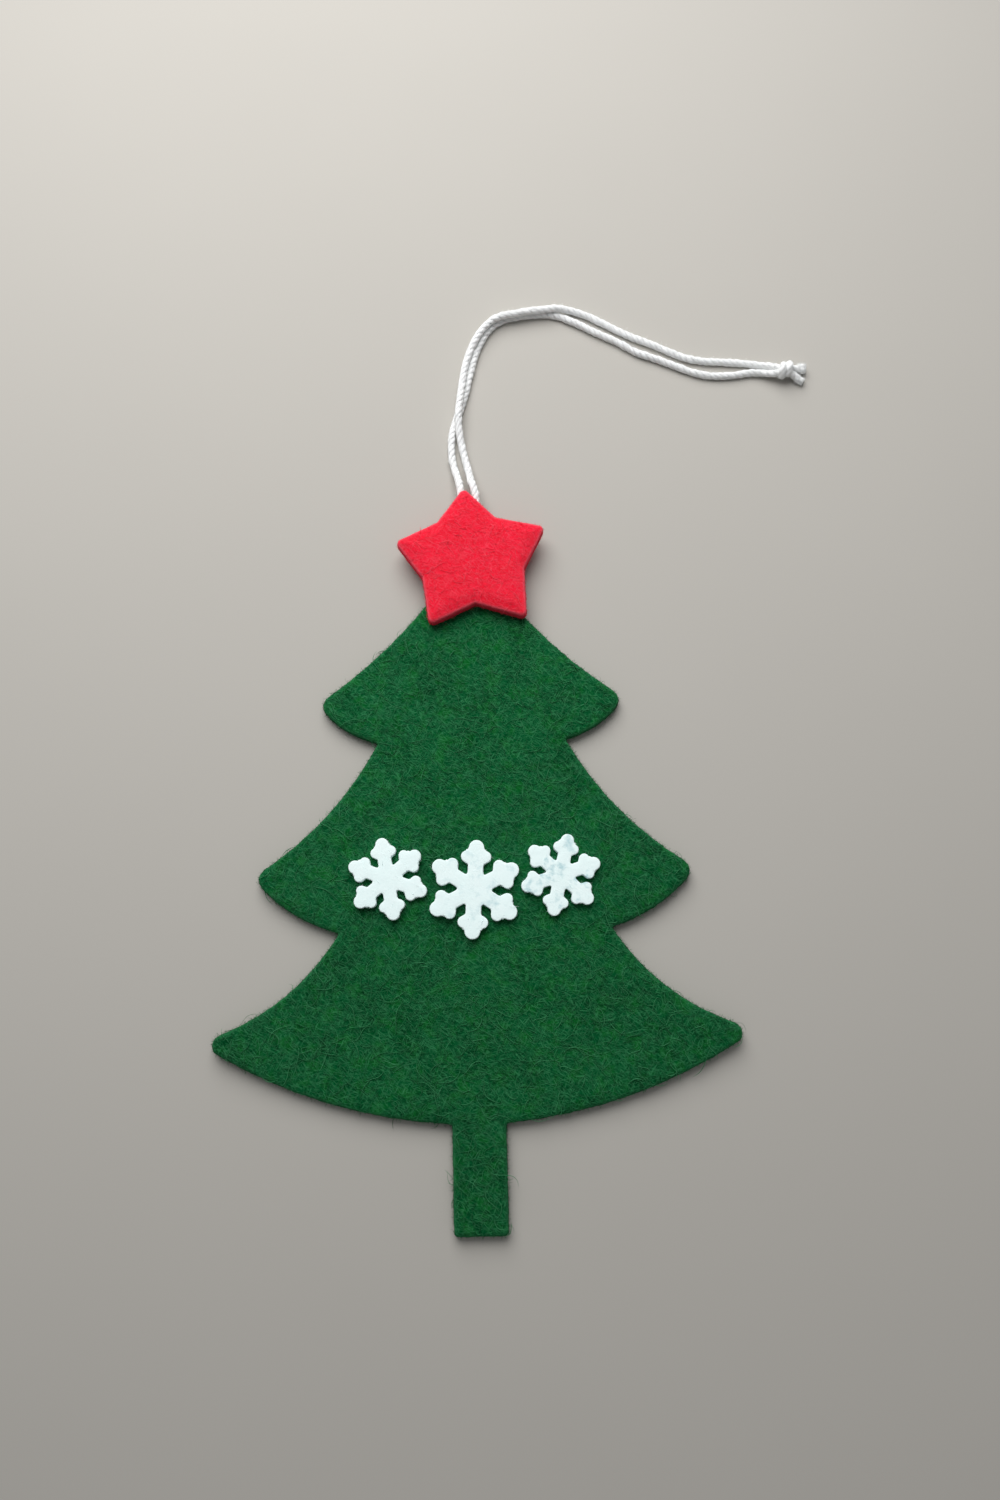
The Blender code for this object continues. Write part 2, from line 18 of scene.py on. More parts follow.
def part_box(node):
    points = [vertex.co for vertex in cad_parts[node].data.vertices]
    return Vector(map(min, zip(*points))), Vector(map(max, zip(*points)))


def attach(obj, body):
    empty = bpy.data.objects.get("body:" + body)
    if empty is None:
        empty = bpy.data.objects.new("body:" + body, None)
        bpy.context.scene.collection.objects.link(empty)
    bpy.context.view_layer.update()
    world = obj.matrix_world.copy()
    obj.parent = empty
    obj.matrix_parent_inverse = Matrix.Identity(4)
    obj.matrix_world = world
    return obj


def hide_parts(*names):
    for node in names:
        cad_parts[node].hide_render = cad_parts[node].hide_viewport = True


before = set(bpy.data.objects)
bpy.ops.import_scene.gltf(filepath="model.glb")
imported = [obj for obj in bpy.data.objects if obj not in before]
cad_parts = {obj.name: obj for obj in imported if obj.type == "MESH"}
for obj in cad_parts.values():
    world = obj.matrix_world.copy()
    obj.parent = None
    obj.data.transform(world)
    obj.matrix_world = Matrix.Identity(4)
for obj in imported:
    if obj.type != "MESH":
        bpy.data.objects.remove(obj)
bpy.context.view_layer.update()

bl_info = {
    "name": "Felt Christmas Tree Ornament",
    "version": (1, 0, 0),
    "blender": (4, 5, 0),
    "location": "3D View > Sidebar > Felt Tree",
    "description": "Dresses a felt tree ornament with felted cloth, plied twine and glue",
    "category": "Object",
}

TWINE_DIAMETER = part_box("cord_bight")[1].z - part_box("cord_bight")[0].z
BODY = "root"
TWINE_SLOT = "cotton_twine"
MM = 0.001

# Where the random numbers of each piece's loose fibres start
SEEDS = {
    "tree": 11,
    "star": 21,
    "flake_left": 31,
    "flake_middle": 41,
    "flake_right": 51,
    "twine_frayed_ends": 71,
    "twine_knot": 81,
    "twine_bight": 84,
    "twine_left_strand": 87,
    "twine_right_strand": 90,
}

# The free strands' routes, from under the star to the knot. The right strand climbs over the left one
LEFT_STRAND_ROUTE = (
    (-0.00120, 0.0695, 0.00340),
    (-0.00125, 0.0720, 0.00340),
    (-0.00145, 0.0741, 0.00310),
    (-0.00190, 0.0763, 0.00210),
    (-0.00245, 0.0786, 0.00115),
    (-0.00295, 0.0809, 0.00075),
    (-0.00315, 0.0833, 0.00065),
    (-0.00305, 0.0859, 0.00065),
    (-0.00260, 0.0882, 0.00065),
    (-0.00185, 0.0906, 0.00065),
    (-0.00095, 0.0929, 0.00065),
    (-0.00025, 0.0951, 0.00065),
    (0.00035, 0.0973, 0.00065),
    (0.00080, 0.0995, 0.00065),
    (0.00130, 0.1016, 0.00065),
    (0.00200, 0.1041, 0.00065),
    (0.00280, 0.1065, 0.00065),
    (0.00395, 0.1089, 0.00065),
    (0.00525, 0.1110, 0.00065),
    (0.00680, 0.1125, 0.00065),
    (0.00865, 0.1136, 0.00065),
    (0.01090, 0.1142, 0.00065),
    (0.01330, 0.1145, 0.00065),
    (0.01570, 0.1147, 0.00065),
    (0.01800, 0.1147, 0.00065),
    (0.02020, 0.1143, 0.00065),
    (0.02230, 0.1135, 0.00065),
    (0.02520, 0.1120, 0.00065),
    (0.02900, 0.1099, 0.00065),
    (0.03340, 0.1076, 0.00065),
    (0.03720, 0.1052, 0.00065),
    (0.04140, 0.1035, 0.00065),
    (0.04530, 0.1018, 0.00065),
    (0.04930, 0.1001, 0.00065),
    (0.05330, 0.0992, 0.00065),
    (0.05750, 0.0992, 0.00065),
    (0.06130, 0.0997, 0.00065),
    (0.06400, 0.0995, 0.00090),
    (0.06655, 0.0990, 0.00160),
)
RIGHT_STRAND_ROUTE = (
    (0.00195, 0.0697, 0.00340),
    (0.00180, 0.0718, 0.00340),
    (0.00135, 0.0738, 0.00315),
    (0.00085, 0.0758, 0.00235),
    (0.00040, 0.0782, 0.00145),
    (-0.00015, 0.0806, 0.00100),
    (-0.00075, 0.0832, 0.00095),
    (-0.00115, 0.0855, 0.00125),
    (-0.00145, 0.0880, 0.00175),
    (-0.00150, 0.0904, 0.00205),
    (-0.00135, 0.0927, 0.00205),
    (-0.00100, 0.0950, 0.00195),
    (-0.00065, 0.0974, 0.00175),
    (-0.00030, 0.0998, 0.00160),
    (0.00015, 0.1021, 0.00155),
    (0.00085, 0.1045, 0.00160),
    (0.00180, 0.1069, 0.00180),
    (0.00305, 0.1092, 0.00195),
    (0.00460, 0.1113, 0.00200),
    (0.00645, 0.1129, 0.00205),
    (0.00860, 0.1138, 0.00205),
    (0.01100, 0.1142, 0.00205),
    (0.01340, 0.1146, 0.00205),
    (0.01590, 0.1149, 0.00205),
    (0.01835, 0.1152, 0.00200),
    (0.02070, 0.1154, 0.00170),
    (0.02290, 0.1153, 0.00110),
    (0.02495, 0.1149, 0.00075),
    (0.02720, 0.1140, 0.00065),
    (0.02970, 0.1126, 0.00065),
    (0.03290, 0.1107, 0.00065),
    (0.03650, 0.1088, 0.00065),
    (0.04030, 0.1071, 0.00065),
    (0.04400, 0.1053, 0.00065),
    (0.04740, 0.1037, 0.00065),
    (0.05080, 0.1028, 0.00065),
    (0.05560, 0.1024, 0.00065),
    (0.06050, 0.1019, 0.00065),
    (0.06400, 0.1012, 0.00090),
    (0.06665, 0.1004, 0.00160),
)

# The twine's turn under the star: half a ring, from the left leg round to the right one
BIGHT_CENTRE = (0.0009, 0.0564, 0.0034)
BIGHT_RADIUS = 0.0024
BIGHT_TURN = math.radians(2.3)
BIGHT_ANGLES = range(-180, 1, 20)

# The knot, whose own +X runs on from the strands, and the tails as seen from it
KNOT_PLACE = (0.0687, 0.0995, 0.0019)
KNOT_TURN = math.radians(-7)
LEFT_TAIL_ROUTE = (
    (0.0004, 0.0003, 0.0001),
    (0.0014, 0.0006, -0.0002),
    (0.0024, 0.0009, -0.0007),
    (0.0034, 0.0012, -0.0011),
    (0.0046, 0.0014, -0.00115),
)
RIGHT_TAIL_ROUTE = (
    (0.0004, -0.0003, 0.0001),
    (0.0014, -0.0006, -0.0002),
    (0.0023, -0.0009, -0.0007),
    (0.0032, -0.0013, -0.0011),
    (0.0043, -0.0017, -0.00115),
)
WRAP_START = math.radians(-90)
WRAP_TURNS = 2
WRAP_PITCH = 0.00125
WRAP_SLANT = 0.0004
WRAP_HALF_WIDTH = 0.0013
WRAP_HALF_HEIGHT = 0.00115
WRAP_STEPS = 24
WRAP_END_SHARE = 0.15


def colour(name, description, default):
    """A colour that the user can change."""
    return bpy.props.FloatVectorProperty(
        name=name, description=description, default=default, size=3, min=0, max=1, subtype="COLOR"
    )


def length(name, description, default):
    """A length that the user can change, in metres."""
    return bpy.props.FloatProperty(
        name=name, description=description, default=default, min=0, precision=5, unit="LENGTH"
    )


def position(name, description, default):
    """A place along an axis that the user can change, in metres."""
    return bpy.props.FloatProperty(name=name, description=description, default=default, unit="LENGTH")


def angle(name, description, default):
    """An angle that the user can change, with its default in degrees."""
    return bpy.props.FloatProperty(
        name=name, description=description, default=math.radians(default), subtype="ANGLE"
    )


def amount(name, description, default):
    """A share or a strength that the user can change."""
    return bpy.props.FloatProperty(name=name, description=description, default=default, min=0)


def count(name, description, default):
    """A number of things that the user can change."""
    return bpy.props.IntProperty(name=name, description=description, default=default, min=0)


FELT_SETTINGS = (
    # deep: the clouds' own darker tone, and painted shade in the dips of the flecks' bumps
    ("deep", colour, "Colour between the fibres"),
    ("body", colour, "Colour of the felt"),
    ("pale", colour, "Colour of the fibres that catch the light"),
    ("soaked", colour, "Colour where the glue has soaked through"),
    ("tinge", colour, "Colour of the livelier clouds"),
    # rim: the top of the cut edge is paler for its fuzz, and carries a painted highlight
    ("rim", amount, "How much paler the cut edge is"),
    ("fleck", length, "Size of the flecks"),
    ("relief", length, "Depth of the finest bumps"),
    ("step", length, "Size of the felt's faces"),
    ("unevenness", length, "How far the felt swells and dips"),
    ("edge_sink", length, "How far the cut edge is pressed down"),
    ("edge_reach", length, "How far in from the cut edge it is pressed down"),
    ("tip_lift", length, "How far the tips of the tiers curl off the table"),
    ("rest_height", length, "How high the back lies on its own nap"),
    ("fibre_diameter", length, "Thickness of a loose fibre"),
    ("fibre_length", length, "Usual length of a loose fibre"),
    ("front_fibres", count, "Loose fibres on the front"),
    ("back_fibres", count, "Loose fibres on the back"),
    ("edge_fibres", count, "Fibres that stand out of the cut edge"),
    ("wall_fibres", count, "Fibres that lie along the cut edge"),
    ("hairs", count, "Long curled hairs on each side"),
)


def felt_settings(**defaults):
    """The table's settings for one felt, as its group's annotations. It has those with a default here."""
    return {
        key: kind(key.replace("_", " ").capitalize(), description, defaults[key])
        for key, kind, description in FELT_SETTINGS
        if key in defaults
    }


class FELTTREE_PG_tree(bpy.types.PropertyGroup):
    """The green felt's colours and nap."""

    __annotations__ = felt_settings(
        deep=(0.0006, 0.030, 0.0082),
        body=(0.0009, 0.0735, 0.0202),
        pale=(0.0600, 0.285, 0.1220),
        tinge=(0.0032, 0.1000, 0.0138),
        rim=0.4,
        fleck=0.75 * MM,
        relief=0.09 * MM,
        step=0.5 * MM,
        unevenness=0.06 * MM,
        edge_sink=0.2 * MM,
        edge_reach=0.8 * MM,
        tip_lift=0.5 * MM,
        rest_height=0.24 * MM,
        fibre_diameter=0.05 * MM,
        fibre_length=1.8 * MM,
        front_fibres=8000,
        back_fibres=3500,
        edge_fibres=7000,
        wall_fibres=3600,
        hairs=1500,
    )


class FELTTREE_PG_star(bpy.types.PropertyGroup):
    """The red felt's colours and nap."""

    __annotations__ = felt_settings(
        deep=(0.70, 0.0085, 0.0240),
        body=(0.79, 0.0135, 0.0375),
        pale=(0.90, 0.140, 0.190),
        tinge=(0.75, 0.0118, 0.0300),
        rim=0.85,
        fleck=0.60 * MM,
        relief=0.08 * MM,
        step=0.26 * MM,
        unevenness=0.05 * MM,
        edge_sink=0.5 * MM,
        edge_reach=1.6 * MM,
        fibre_diameter=0.036 * MM,
        fibre_length=1.3 * MM,
        front_fibres=1600,
        back_fibres=900,
        edge_fibres=3200,
        wall_fibres=1500,
        hairs=70,
    )


class FELTTREE_PG_flake(bpy.types.PropertyGroup):
    """The white felt's colours and nap."""

    __annotations__ = felt_settings(
        deep=(0.80, 0.945, 0.935),
        body=(0.83, 0.970, 0.960),
        pale=(0.88, 0.980, 0.975),
        soaked=(0.50, 0.70, 0.73),
        tinge=(0.85, 0.975, 0.965),
        rim=0.3,
        fleck=0.40 * MM,
        relief=0.025 * MM,
        step=0.18 * MM,
        unevenness=0.02 * MM,
        edge_sink=0.04 * MM,
        edge_reach=0.5 * MM,
        fibre_diameter=0.026 * MM,
        fibre_length=0.8 * MM,
        front_fibres=160,
        back_fibres=60,
        edge_fibres=260,
        wall_fibres=200,
        hairs=14,
    )


class FELTTREE_PG_twine(bpy.types.PropertyGroup):
    """The cotton twine's make and colour."""

    diameter: length("Diameter", "Thickness of the twine drawn tight", TWINE_DIAMETER)
    plies: count("Plies", "Yarns twisted into the twine", 3)
    lay: length("Lay", "Length of one full turn of a yarn", 4.2 * MM)
    body: colour("Body", "Colour of the cotton", (0.94, 0.95, 0.94))
    # The deep colour is painted shade in the dips of the yarns' fine bumps, and the darker end of the loose
    # fibres' tones
    deep: colour("Deep", "Colour in the twine's hollows", (0.90, 0.915, 0.915))
    lying: count("Lying fibres", "Fibres along each metre of yarn", 10000)
    fuzz: count("Fuzz", "Loose fibres on each metre of yarn", 20000)
    fibre_diameter: length("Fibre diameter", "Thickness of a loose fibre", 0.034 * MM)
    fibre_length: length("Fibre length", "Usual length of a loose fibre", 0.8 * MM)
    fray: count("Fray", "Loose fibres at each cut end", 500)


class FELTTREE_PG_glue(bpy.types.PropertyGroup):
    """The glue's colours."""

    body: colour("Body", "Colour of the glue", (0.80, 0.78, 0.70))
    milky: colour("Milky", "Colour where the glue has clouded", (0.88, 0.87, 0.82))


class FELTTREE_PG_stage(bpy.types.PropertyGroup):
    """The floor, the lamp and the camera."""

    floor: colour("Floor", "Colour of the floor", (0.46, 0.44, 0.405))
    backdrop: colour("Backdrop", "Colour far round the floor", (0.53, 0.51, 0.472))
    sky: amount("Sky", "Strength of the light from all round", 0.25)
    key: amount("Key", "Power of the lamp in watts", 2.10)
    tilt: angle("Tilt", "How far the camera leans back from straight down", 11)
    roll: angle("Roll", "How far the camera is turned about its upright", -1.41)
    height: length("Height", "Height of the camera over the table", 204.46 * MM)
    across: position("Across", "Place of the camera along X", 4.615 * MM)
    along: position("Along", "Place of the camera along Y", -21.27 * MM)
    lens: amount("Lens", "Focal length in millimetres on a 36 mm long side", 24.888)


class Nodes:
    """A node tree, emptied and built up node by node."""

    def __init__(self, tree):
        self.tree = tree
        tree.nodes.clear()

    def add(self, kind, inputs=None, **settings):
        """Adds a node. An input is named or numbered, and is a value or another node's output."""
        node = self.tree.nodes.new(kind)
        for name, value in settings.items():
            setattr(node, name, value)
        for key, value in (inputs or {}).items():
            if isinstance(value, bpy.types.NodeSocket):
                self.tree.links.new(value, node.inputs[key])
            else:
                node.inputs[key].default_value = value
        return node


class Finish(Nodes):
    """A material, with the steps that the ornament's finishes share."""

    def __init__(self, name):
        self.material = bpy.data.materials.get(name) or bpy.data.materials.new(name)
        self.material.use_nodes = True
        super().__init__(self.material.node_tree)

    def place(self):
        """The place on the piece, in metres."""
        return self.add("ShaderNodeTexCoord").outputs["Object"]

    def noise(self, place, size, detail=2.0, roughness=0.5):
        """How cloudy the place is, from 0 to 1, in clouds of that size."""
        inputs = {"Vector": place, "Scale": 1 / size, "Detail": detail, "Roughness": roughness}
        return self.add("ShaderNodeTexNoise", inputs).outputs["Fac"]

    def spread(self, value, low, high):
        """The value drawn out so that low becomes 0 and high becomes 1."""
        inputs = {"Value": value, "From Min": low, "From Max": high}
        return self.add("ShaderNodeMapRange", inputs).outputs["Result"]

    def maths(self, operation, first, second):
        """The result of an operation on two values."""
        return self.add("ShaderNodeMath", {0: first, 1: second}, operation=operation).outputs["Value"]

    def times(self, first, second):
        """The product of two values."""
        return self.maths("MULTIPLY", first, second)

    def plus(self, first, second):
        """The sum of two values."""
        return self.maths("ADD", first, second)

    def mix(self, share, first, second):
        """The first colour at a share of 0 and the second at 1. Each is three numbers or an output."""
        inputs = {0: share}
        for place, shade in ((6, first), (7, second)):
            inputs[place] = shade if isinstance(shade, bpy.types.NodeSocket) else (*shade, 1)
        return self.add("ShaderNodeMix", inputs, data_type="RGBA").outputs[2]

    def close(self, colour, height=None, depth=0.0, strength=1.0, **shader_inputs):
        """Ends in a Principled BSDF of that colour, with a bump from the height, and gives the material."""
        inputs = {name.replace("_", " ").title(): value for name, value in shader_inputs.items()}
        inputs["Base Color"] = colour
        inputs["Specular IOR Level"] = inputs.pop("Specular")
        if height is not None:
            bump = {"Height": height, "Distance": depth, "Strength": strength}
            inputs["Normal"] = self.add("ShaderNodeBump", bump).outputs["Normal"]
        shader = self.add("ShaderNodeBsdfPrincipled", inputs)
        self.add("ShaderNodeOutputMaterial", {"Surface": shader.outputs["BSDF"]})
        return self.material


# A spread is the two values of a pattern that become 0 and 1
STREAK_ANGLES = (-50, -28, 8, 63)
STREAK_LENGTH = 2.3 * MM
STREAK_WIDTH = 0.19 * MM
STREAK_WANDER = 1.3 * MM
STREAK_SPREAD = (0.55, 0.72)
STREAK_HEIGHT_SHARE = 0.7
WANDER_SIZE = 3.2 * MM
CLOUD_SIZE = 7 * MM
CLOUD_SHARE = 0.9
FLECK_SHARE = 1.2
SHADE_SPREAD = (0.71, 1.16)
TINGE_SIZE = 3.2 * MM
TINGE_SPREAD = (0.47, 0.64)
TINGE_SHARE = 0.85
SOAKED_SIZE = 2.2 * MM
SOAKED_SPREAD = (0.54, 0.70)
SOAKED_ACROSS = (-14 * MM, 12 * MM)


def felt_finish(name, look, streak_share=0.44, blotches=False):
    """Needled felt: clouds, flecks and long wandering fibres, with a soft sheen. The flecks' dips are painted
    darker as shade between the fibres, and the top of the cut edge is paler, for its fuzz and as a painted
    highlight.
    """
    finish = Finish(name)
    place = finish.place()
    drift = finish.add("ShaderNodeTexNoise", {"Vector": place, "Scale": 1 / WANDER_SIZE, "Detail": 1.0})
    wander = {0: drift.outputs["Color"], 1: (STREAK_WANDER,) * 3, 2: place}
    wandering = finish.add("ShaderNodeVectorMath", wander, operation="MULTIPLY_ADD").outputs["Vector"]
    streaks = None
    for degrees in STREAK_ANGLES:
        turned = {
            "Vector": wandering,
            "Rotation": (0, 0, math.radians(degrees)),
            "Scale": (STREAK_LENGTH, STREAK_WIDTH, STREAK_WIDTH),
            "Location": (degrees * MM, 0, 0),
        }
        along = finish.add("ShaderNodeMapping", turned, vector_type="TEXTURE").outputs["Vector"]
        streak = finish.spread(finish.noise(along, size=1, detail=1.0), *STREAK_SPREAD)
        streaks = streak if streaks is None else finish.maths("MAXIMUM", streaks, streak)
    cloud = finish.noise(place, CLOUD_SIZE, detail=3.0)
    fleck = finish.noise(place, look.fleck, detail=3.0, roughness=0.52)
    tinge = finish.spread(finish.noise(wandering, TINGE_SIZE), *TINGE_SPREAD)
    depth = finish.plus(finish.times(cloud, CLOUD_SHARE), finish.times(fleck, FLECK_SHARE))
    body = finish.mix(finish.times(tinge, TINGE_SHARE), look.body, look.tinge)
    # Low clouds give a darker tone. Low flecks, which are also the bump's dips, give painted shade between
    # the fibres
    shade = finish.mix(finish.spread(depth, *SHADE_SPREAD), look.deep, body)
    shade = finish.mix(finish.times(streaks, streak_share), shade, look.pale)
    # The top of the cut edge goes towards the pale colour: its paler fuzz, and a painted highlight
    rim = finish.add("ShaderNodeAttribute", attribute_name="rim").outputs["Fac"]
    shade = finish.mix(finish.times(rim, look.rim), shade, look.pale)
    if blotches:
        soaked = finish.noise(place, SOAKED_SIZE, detail=4.0, roughness=0.6)
        across = finish.add("ShaderNodeSeparateXYZ", {"Vector": place}).outputs["X"]
        where = finish.spread(across, *SOAKED_ACROSS)
        shade = finish.mix(
            finish.times(finish.spread(soaked, *SOAKED_SPREAD), where), shade, look.soaked
        )
    return finish.close(
        shade,
        finish.plus(fleck, finish.times(streaks, STREAK_HEIGHT_SHARE)),
        depth=look.relief,
        strength=0.7,
        roughness=1.0,
        specular=0.01,
        sheen_weight=0.08,
        sheen_roughness=0.5,
        sheen_tint=(*look.pale, 1),
    )


TONE_SHARE = 0.85
WORN_SIZE = 0.4 * MM
WORN_SHARE = 0.3


def fibre_finish(name, dark, light):
    """Single fibres, each with its own shade between dark and light."""
    finish = Finish(name)
    tone = finish.add("ShaderNodeAttribute", attribute_name="tone").outputs["Fac"]
    worn = finish.noise(finish.place(), WORN_SIZE, detail=1.0)
    share = finish.plus(finish.times(tone, TONE_SHARE), finish.times(worn, WORN_SHARE))
    return finish.close(finish.mix(share, dark, light), roughness=0.9, specular=0.06)


COTTON_TURN = -0.2
COTTON_ROUND = 2.6
COTTON_LENGTH = 1.2 * MM
COTTON_CLOUD_SIZE = 1.4 * MM
COTTON_SPREAD = (0.78, 1.14)


def twine_finish(look):
    """Twisted cotton: each yarn's fine fibres lie nearly along the twine, and its hollows are painted darker,
    as shade.
    """
    finish = Finish(TWINE_SLOT)
    yarn = finish.add("ShaderNodeTexCoord").outputs["UV"]
    split = finish.add("ShaderNodeSeparateXYZ", {"Vector": yarn})
    along, around = split.outputs["X"], split.outputs["Y"]
    turned = finish.times(finish.plus(around, finish.times(along, COTTON_TURN / MM)), math.tau)
    ring = [finish.times(finish.maths(wave, turned, 0), COTTON_ROUND) for wave in ("COSINE", "SINE")]
    rolled = {"X": finish.times(along, 1 / COTTON_LENGTH), "Y": ring[0], "Z": ring[1]}
    place = finish.add("ShaderNodeCombineXYZ", rolled).outputs["Vector"]
    fine = finish.noise(place, size=1, detail=3.0, roughness=0.65)
    soft = finish.noise(finish.place(), COTTON_CLOUD_SIZE)
    # Where the fine bumps dip, the cotton is painted darker: painted shade in the yarns' hollows
    shade = finish.spread(finish.plus(fine, soft), *COTTON_SPREAD)
    return finish.close(
        finish.mix(shade, look.deep, look.body),
        fine,
        depth=0.09 * MM,
        strength=0.8,
        roughness=0.95,
        specular=0.1,
        subsurface_weight=0.7,
        subsurface_scale=0.3 * MM,
        subsurface_radius=(1.0, 1.0, 1.0),
        sheen_weight=0.4,
        sheen_roughness=0.5,
    )


GLUE_CLOUD_SIZE = 0.9 * MM
GLUE_SPREAD = (0.4, 0.65)


def glue_finish(look):
    """Hot-melt glue: glossy, cream and clouded in places."""
    finish = Finish("hot_melt_glue")
    cloud = finish.noise(finish.place(), GLUE_CLOUD_SIZE, detail=3.0)
    shade = finish.mix(finish.spread(cloud, *GLUE_SPREAD), look.body, look.milky)
    rough = finish.add("ShaderNodeMapRange", {"Value": cloud, "To Min": 0.22, "To Max": 0.5})
    return finish.close(
        shade, cloud, depth=0.05 * MM, strength=0.3, roughness=rough.outputs["Result"], specular=0.5
    )


FLOOR_CLOUD_SIZE = 40 * MM
FLOOR_DARKEST_SHARE = 0.975
FLOOR_NEAR = 0.20
FLOOR_FAR = 0.42


def floor_finish(look):
    """A matt pale table top with the faintest grain, which runs out into the backdrop all round."""
    finish = Finish("pale_floor")
    place = finish.place()
    darkest = tuple(FLOOR_DARKEST_SHARE * part for part in look.floor)
    shade = finish.mix(finish.noise(place, FLOOR_CLOUD_SIZE, detail=3.0), darkest, look.floor)
    matt = {"Base Color": shade, "Roughness": 1.0, "Specular IOR Level": 0.0}
    table = finish.add("ShaderNodeBsdfPrincipled", matt)
    backdrop = finish.add("ShaderNodeEmission", {"Color": (*look.backdrop, 1)})
    reach = finish.add("ShaderNodeVectorMath", {0: place}, operation="LENGTH").outputs["Value"]
    limits = {"Value": reach, "From Min": FLOOR_NEAR, "From Max": FLOOR_FAR}
    far = finish.add("ShaderNodeMapRange", limits, interpolation_type="SMOOTHSTEP")
    rays = finish.add("ShaderNodeLightPath")
    share = finish.times(far.outputs["Result"], rays.outputs["Is Camera Ray"])
    both = finish.add("ShaderNodeMixShader", {0: share, 1: table.outputs[0], 2: backdrop.outputs[0]})
    finish.add("ShaderNodeOutputMaterial", {"Surface": both.outputs[0]})
    return finish.material


def show(name, mesh, material, slot=None):
    """Puts a mesh in the scene as a piece of the ornament, in place of one of that name."""
    old = bpy.data.objects.get(name)
    if old:
        bpy.data.objects.remove(old, do_unlink=True)
    mesh.materials.clear()
    mesh.materials.append(material)
    piece = bpy.data.objects.new(name, mesh)
    bpy.context.scene.collection.objects.link(piece)
    if slot:
        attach(piece, BODY)
    return piece


def made_mesh(draft):
    """The mesh that a draft's modifiers or its curve give. The draft itself goes."""
    bpy.context.scene.collection.objects.link(draft)
    graph = bpy.context.evaluated_depsgraph_get()
    mesh = bpy.data.meshes.new_from_object(draft.evaluated_get(graph))
    bpy.data.objects.remove(draft, do_unlink=True)
    return mesh


def when_quick():
    return 1


def points_of(mesh):
    """The mesh's points and their normals, as arrays."""
    points = np.empty(len(mesh.vertices) * 3)
    mesh.vertices.foreach_get("co", points)
    normals = np.empty(len(mesh.vertices) * 3)
    mesh.vertex_normals.foreach_get("vector", normals)
    return points.reshape(-1, 3), normals.reshape(-1, 3)


WELD = 0.001 * MM
SOFTENING_ROUNDS = 3
SOFTENING = 0.5
HOLD = 0.9
SWELL_SIZES = ((2.4 * MM, 1.0), (0.9 * MM, 0.6))
# How far in from the cut edge the pale lit rim, with its painted highlight, reaches, and how fast it fades
# down the edge
LIT_RIM_REACH = 0.3 * MM
LIT_RIM_FADE = 4
WALL_SLOPE = 0.5
OUTLINE_HEIGHT = 0.7
SEATED_SHARE = 0.95
FLOOR_CLEARANCE = 0.02 * MM
TIP_START = 24 * MM
TIP_END = 50 * MM


def felted(name, node, look, material, slot, seat_gap=0.0, tip_lift=0.0):
    """A CAD felt piece as soft cloth: evenly faced, swollen and dipped, its cut edge pressed down.

    The underside is let down over most of the gap to its seat. A gap below zero lifts it.
    """
    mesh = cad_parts[node].data.copy()
    shape = bmesh.new()
    shape.from_mesh(mesh)
    bmesh.ops.remove_doubles(shape, verts=shape.verts, dist=WELD)
    cut = BVHTree.FromBMesh(shape)
    shape.to_mesh(mesh)
    shape.free()
    draft = bpy.data.objects.new(f"{name}_draft", mesh)
    remesh = draft.modifiers.new("even faces", "REMESH")
    remesh.mode = "VOXEL"
    remesh.voxel_size = look.step * when_quick()
    cloth = made_mesh(draft)

    shape = bmesh.new()
    shape.from_mesh(cloth)
    every_axis = {"use_axis_x": True, "use_axis_y": True, "use_axis_z": True}
    for _ in range(SOFTENING_ROUNDS):
        bmesh.ops.smooth_vert(shape, verts=shape.verts, factor=SOFTENING, **every_axis)
        for vertex in shape.verts:
            vertex.co = vertex.co.lerp(cut.find_nearest(vertex.co)[0], HOLD)
    shape.to_mesh(cloth)
    shape.free()

    points, normals = points_of(cloth)
    low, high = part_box(node)
    height = (points[:, 2] - low.z) / (high.z - low.z)
    wall = points[(np.abs(normals[:, 2]) < WALL_SLOPE) & (height > OUTLINE_HEIGHT)]
    edge = kdtree.KDTree(len(wall))
    for index, point in enumerate(wall):
        edge.insert((point[0], point[1], 0), index)
    edge.balance()
    inside = np.array([edge.find((x, y, 0))[2] for x, y, _ in points])
    pressed = np.exp(-((inside / look.edge_reach) ** 2)) * np.clip(height, 0, 1)
    swell = np.zeros(len(points))
    for size, share in SWELL_SIZES:
        swell += share * np.array([noise.noise(Vector(point) / size) for point in points])
    moved = points + normals * (swell * look.unevenness)[:, None]
    moved[:, 2] -= look.edge_sink * pressed
    moved[:, 2] -= seat_gap * SEATED_SHARE * np.clip(1 - height, 0, 1)
    tips = np.clip((np.abs(points[:, 0]) - TIP_START) / (TIP_END - TIP_START), 0, 1)
    moved[:, 2] += tip_lift * tips**2
    moved[:, 2] = np.maximum(moved[:, 2], low.z - max(seat_gap, 0) * SEATED_SHARE + FLOOR_CLEARANCE)
    cloth.vertices.foreach_set("co", moved.astype(np.float32).ravel())
    # The top of the cut edge is marked for a paler colour: its fuzz, and a painted highlight
    rim = cloth.attributes.new("rim", "FLOAT", "POINT")
    paler = np.exp(-((inside / LIT_RIM_REACH) ** 2)) * np.clip(height, 0, 1) ** LIT_RIM_FADE
    rim.data.foreach_set("value", paler.astype(np.float32))
    cloth.shade_smooth()
    cloth.update()
    piece = show(name, cloth, material, slot)
    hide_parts(node)
    return piece


FIBRE_SIDES = 3
FIBRE_FULLNESS = 0.4
FIBRE_RINGS = 4
LEAST_LENGTH = 1e-12
STEEP = 0.9


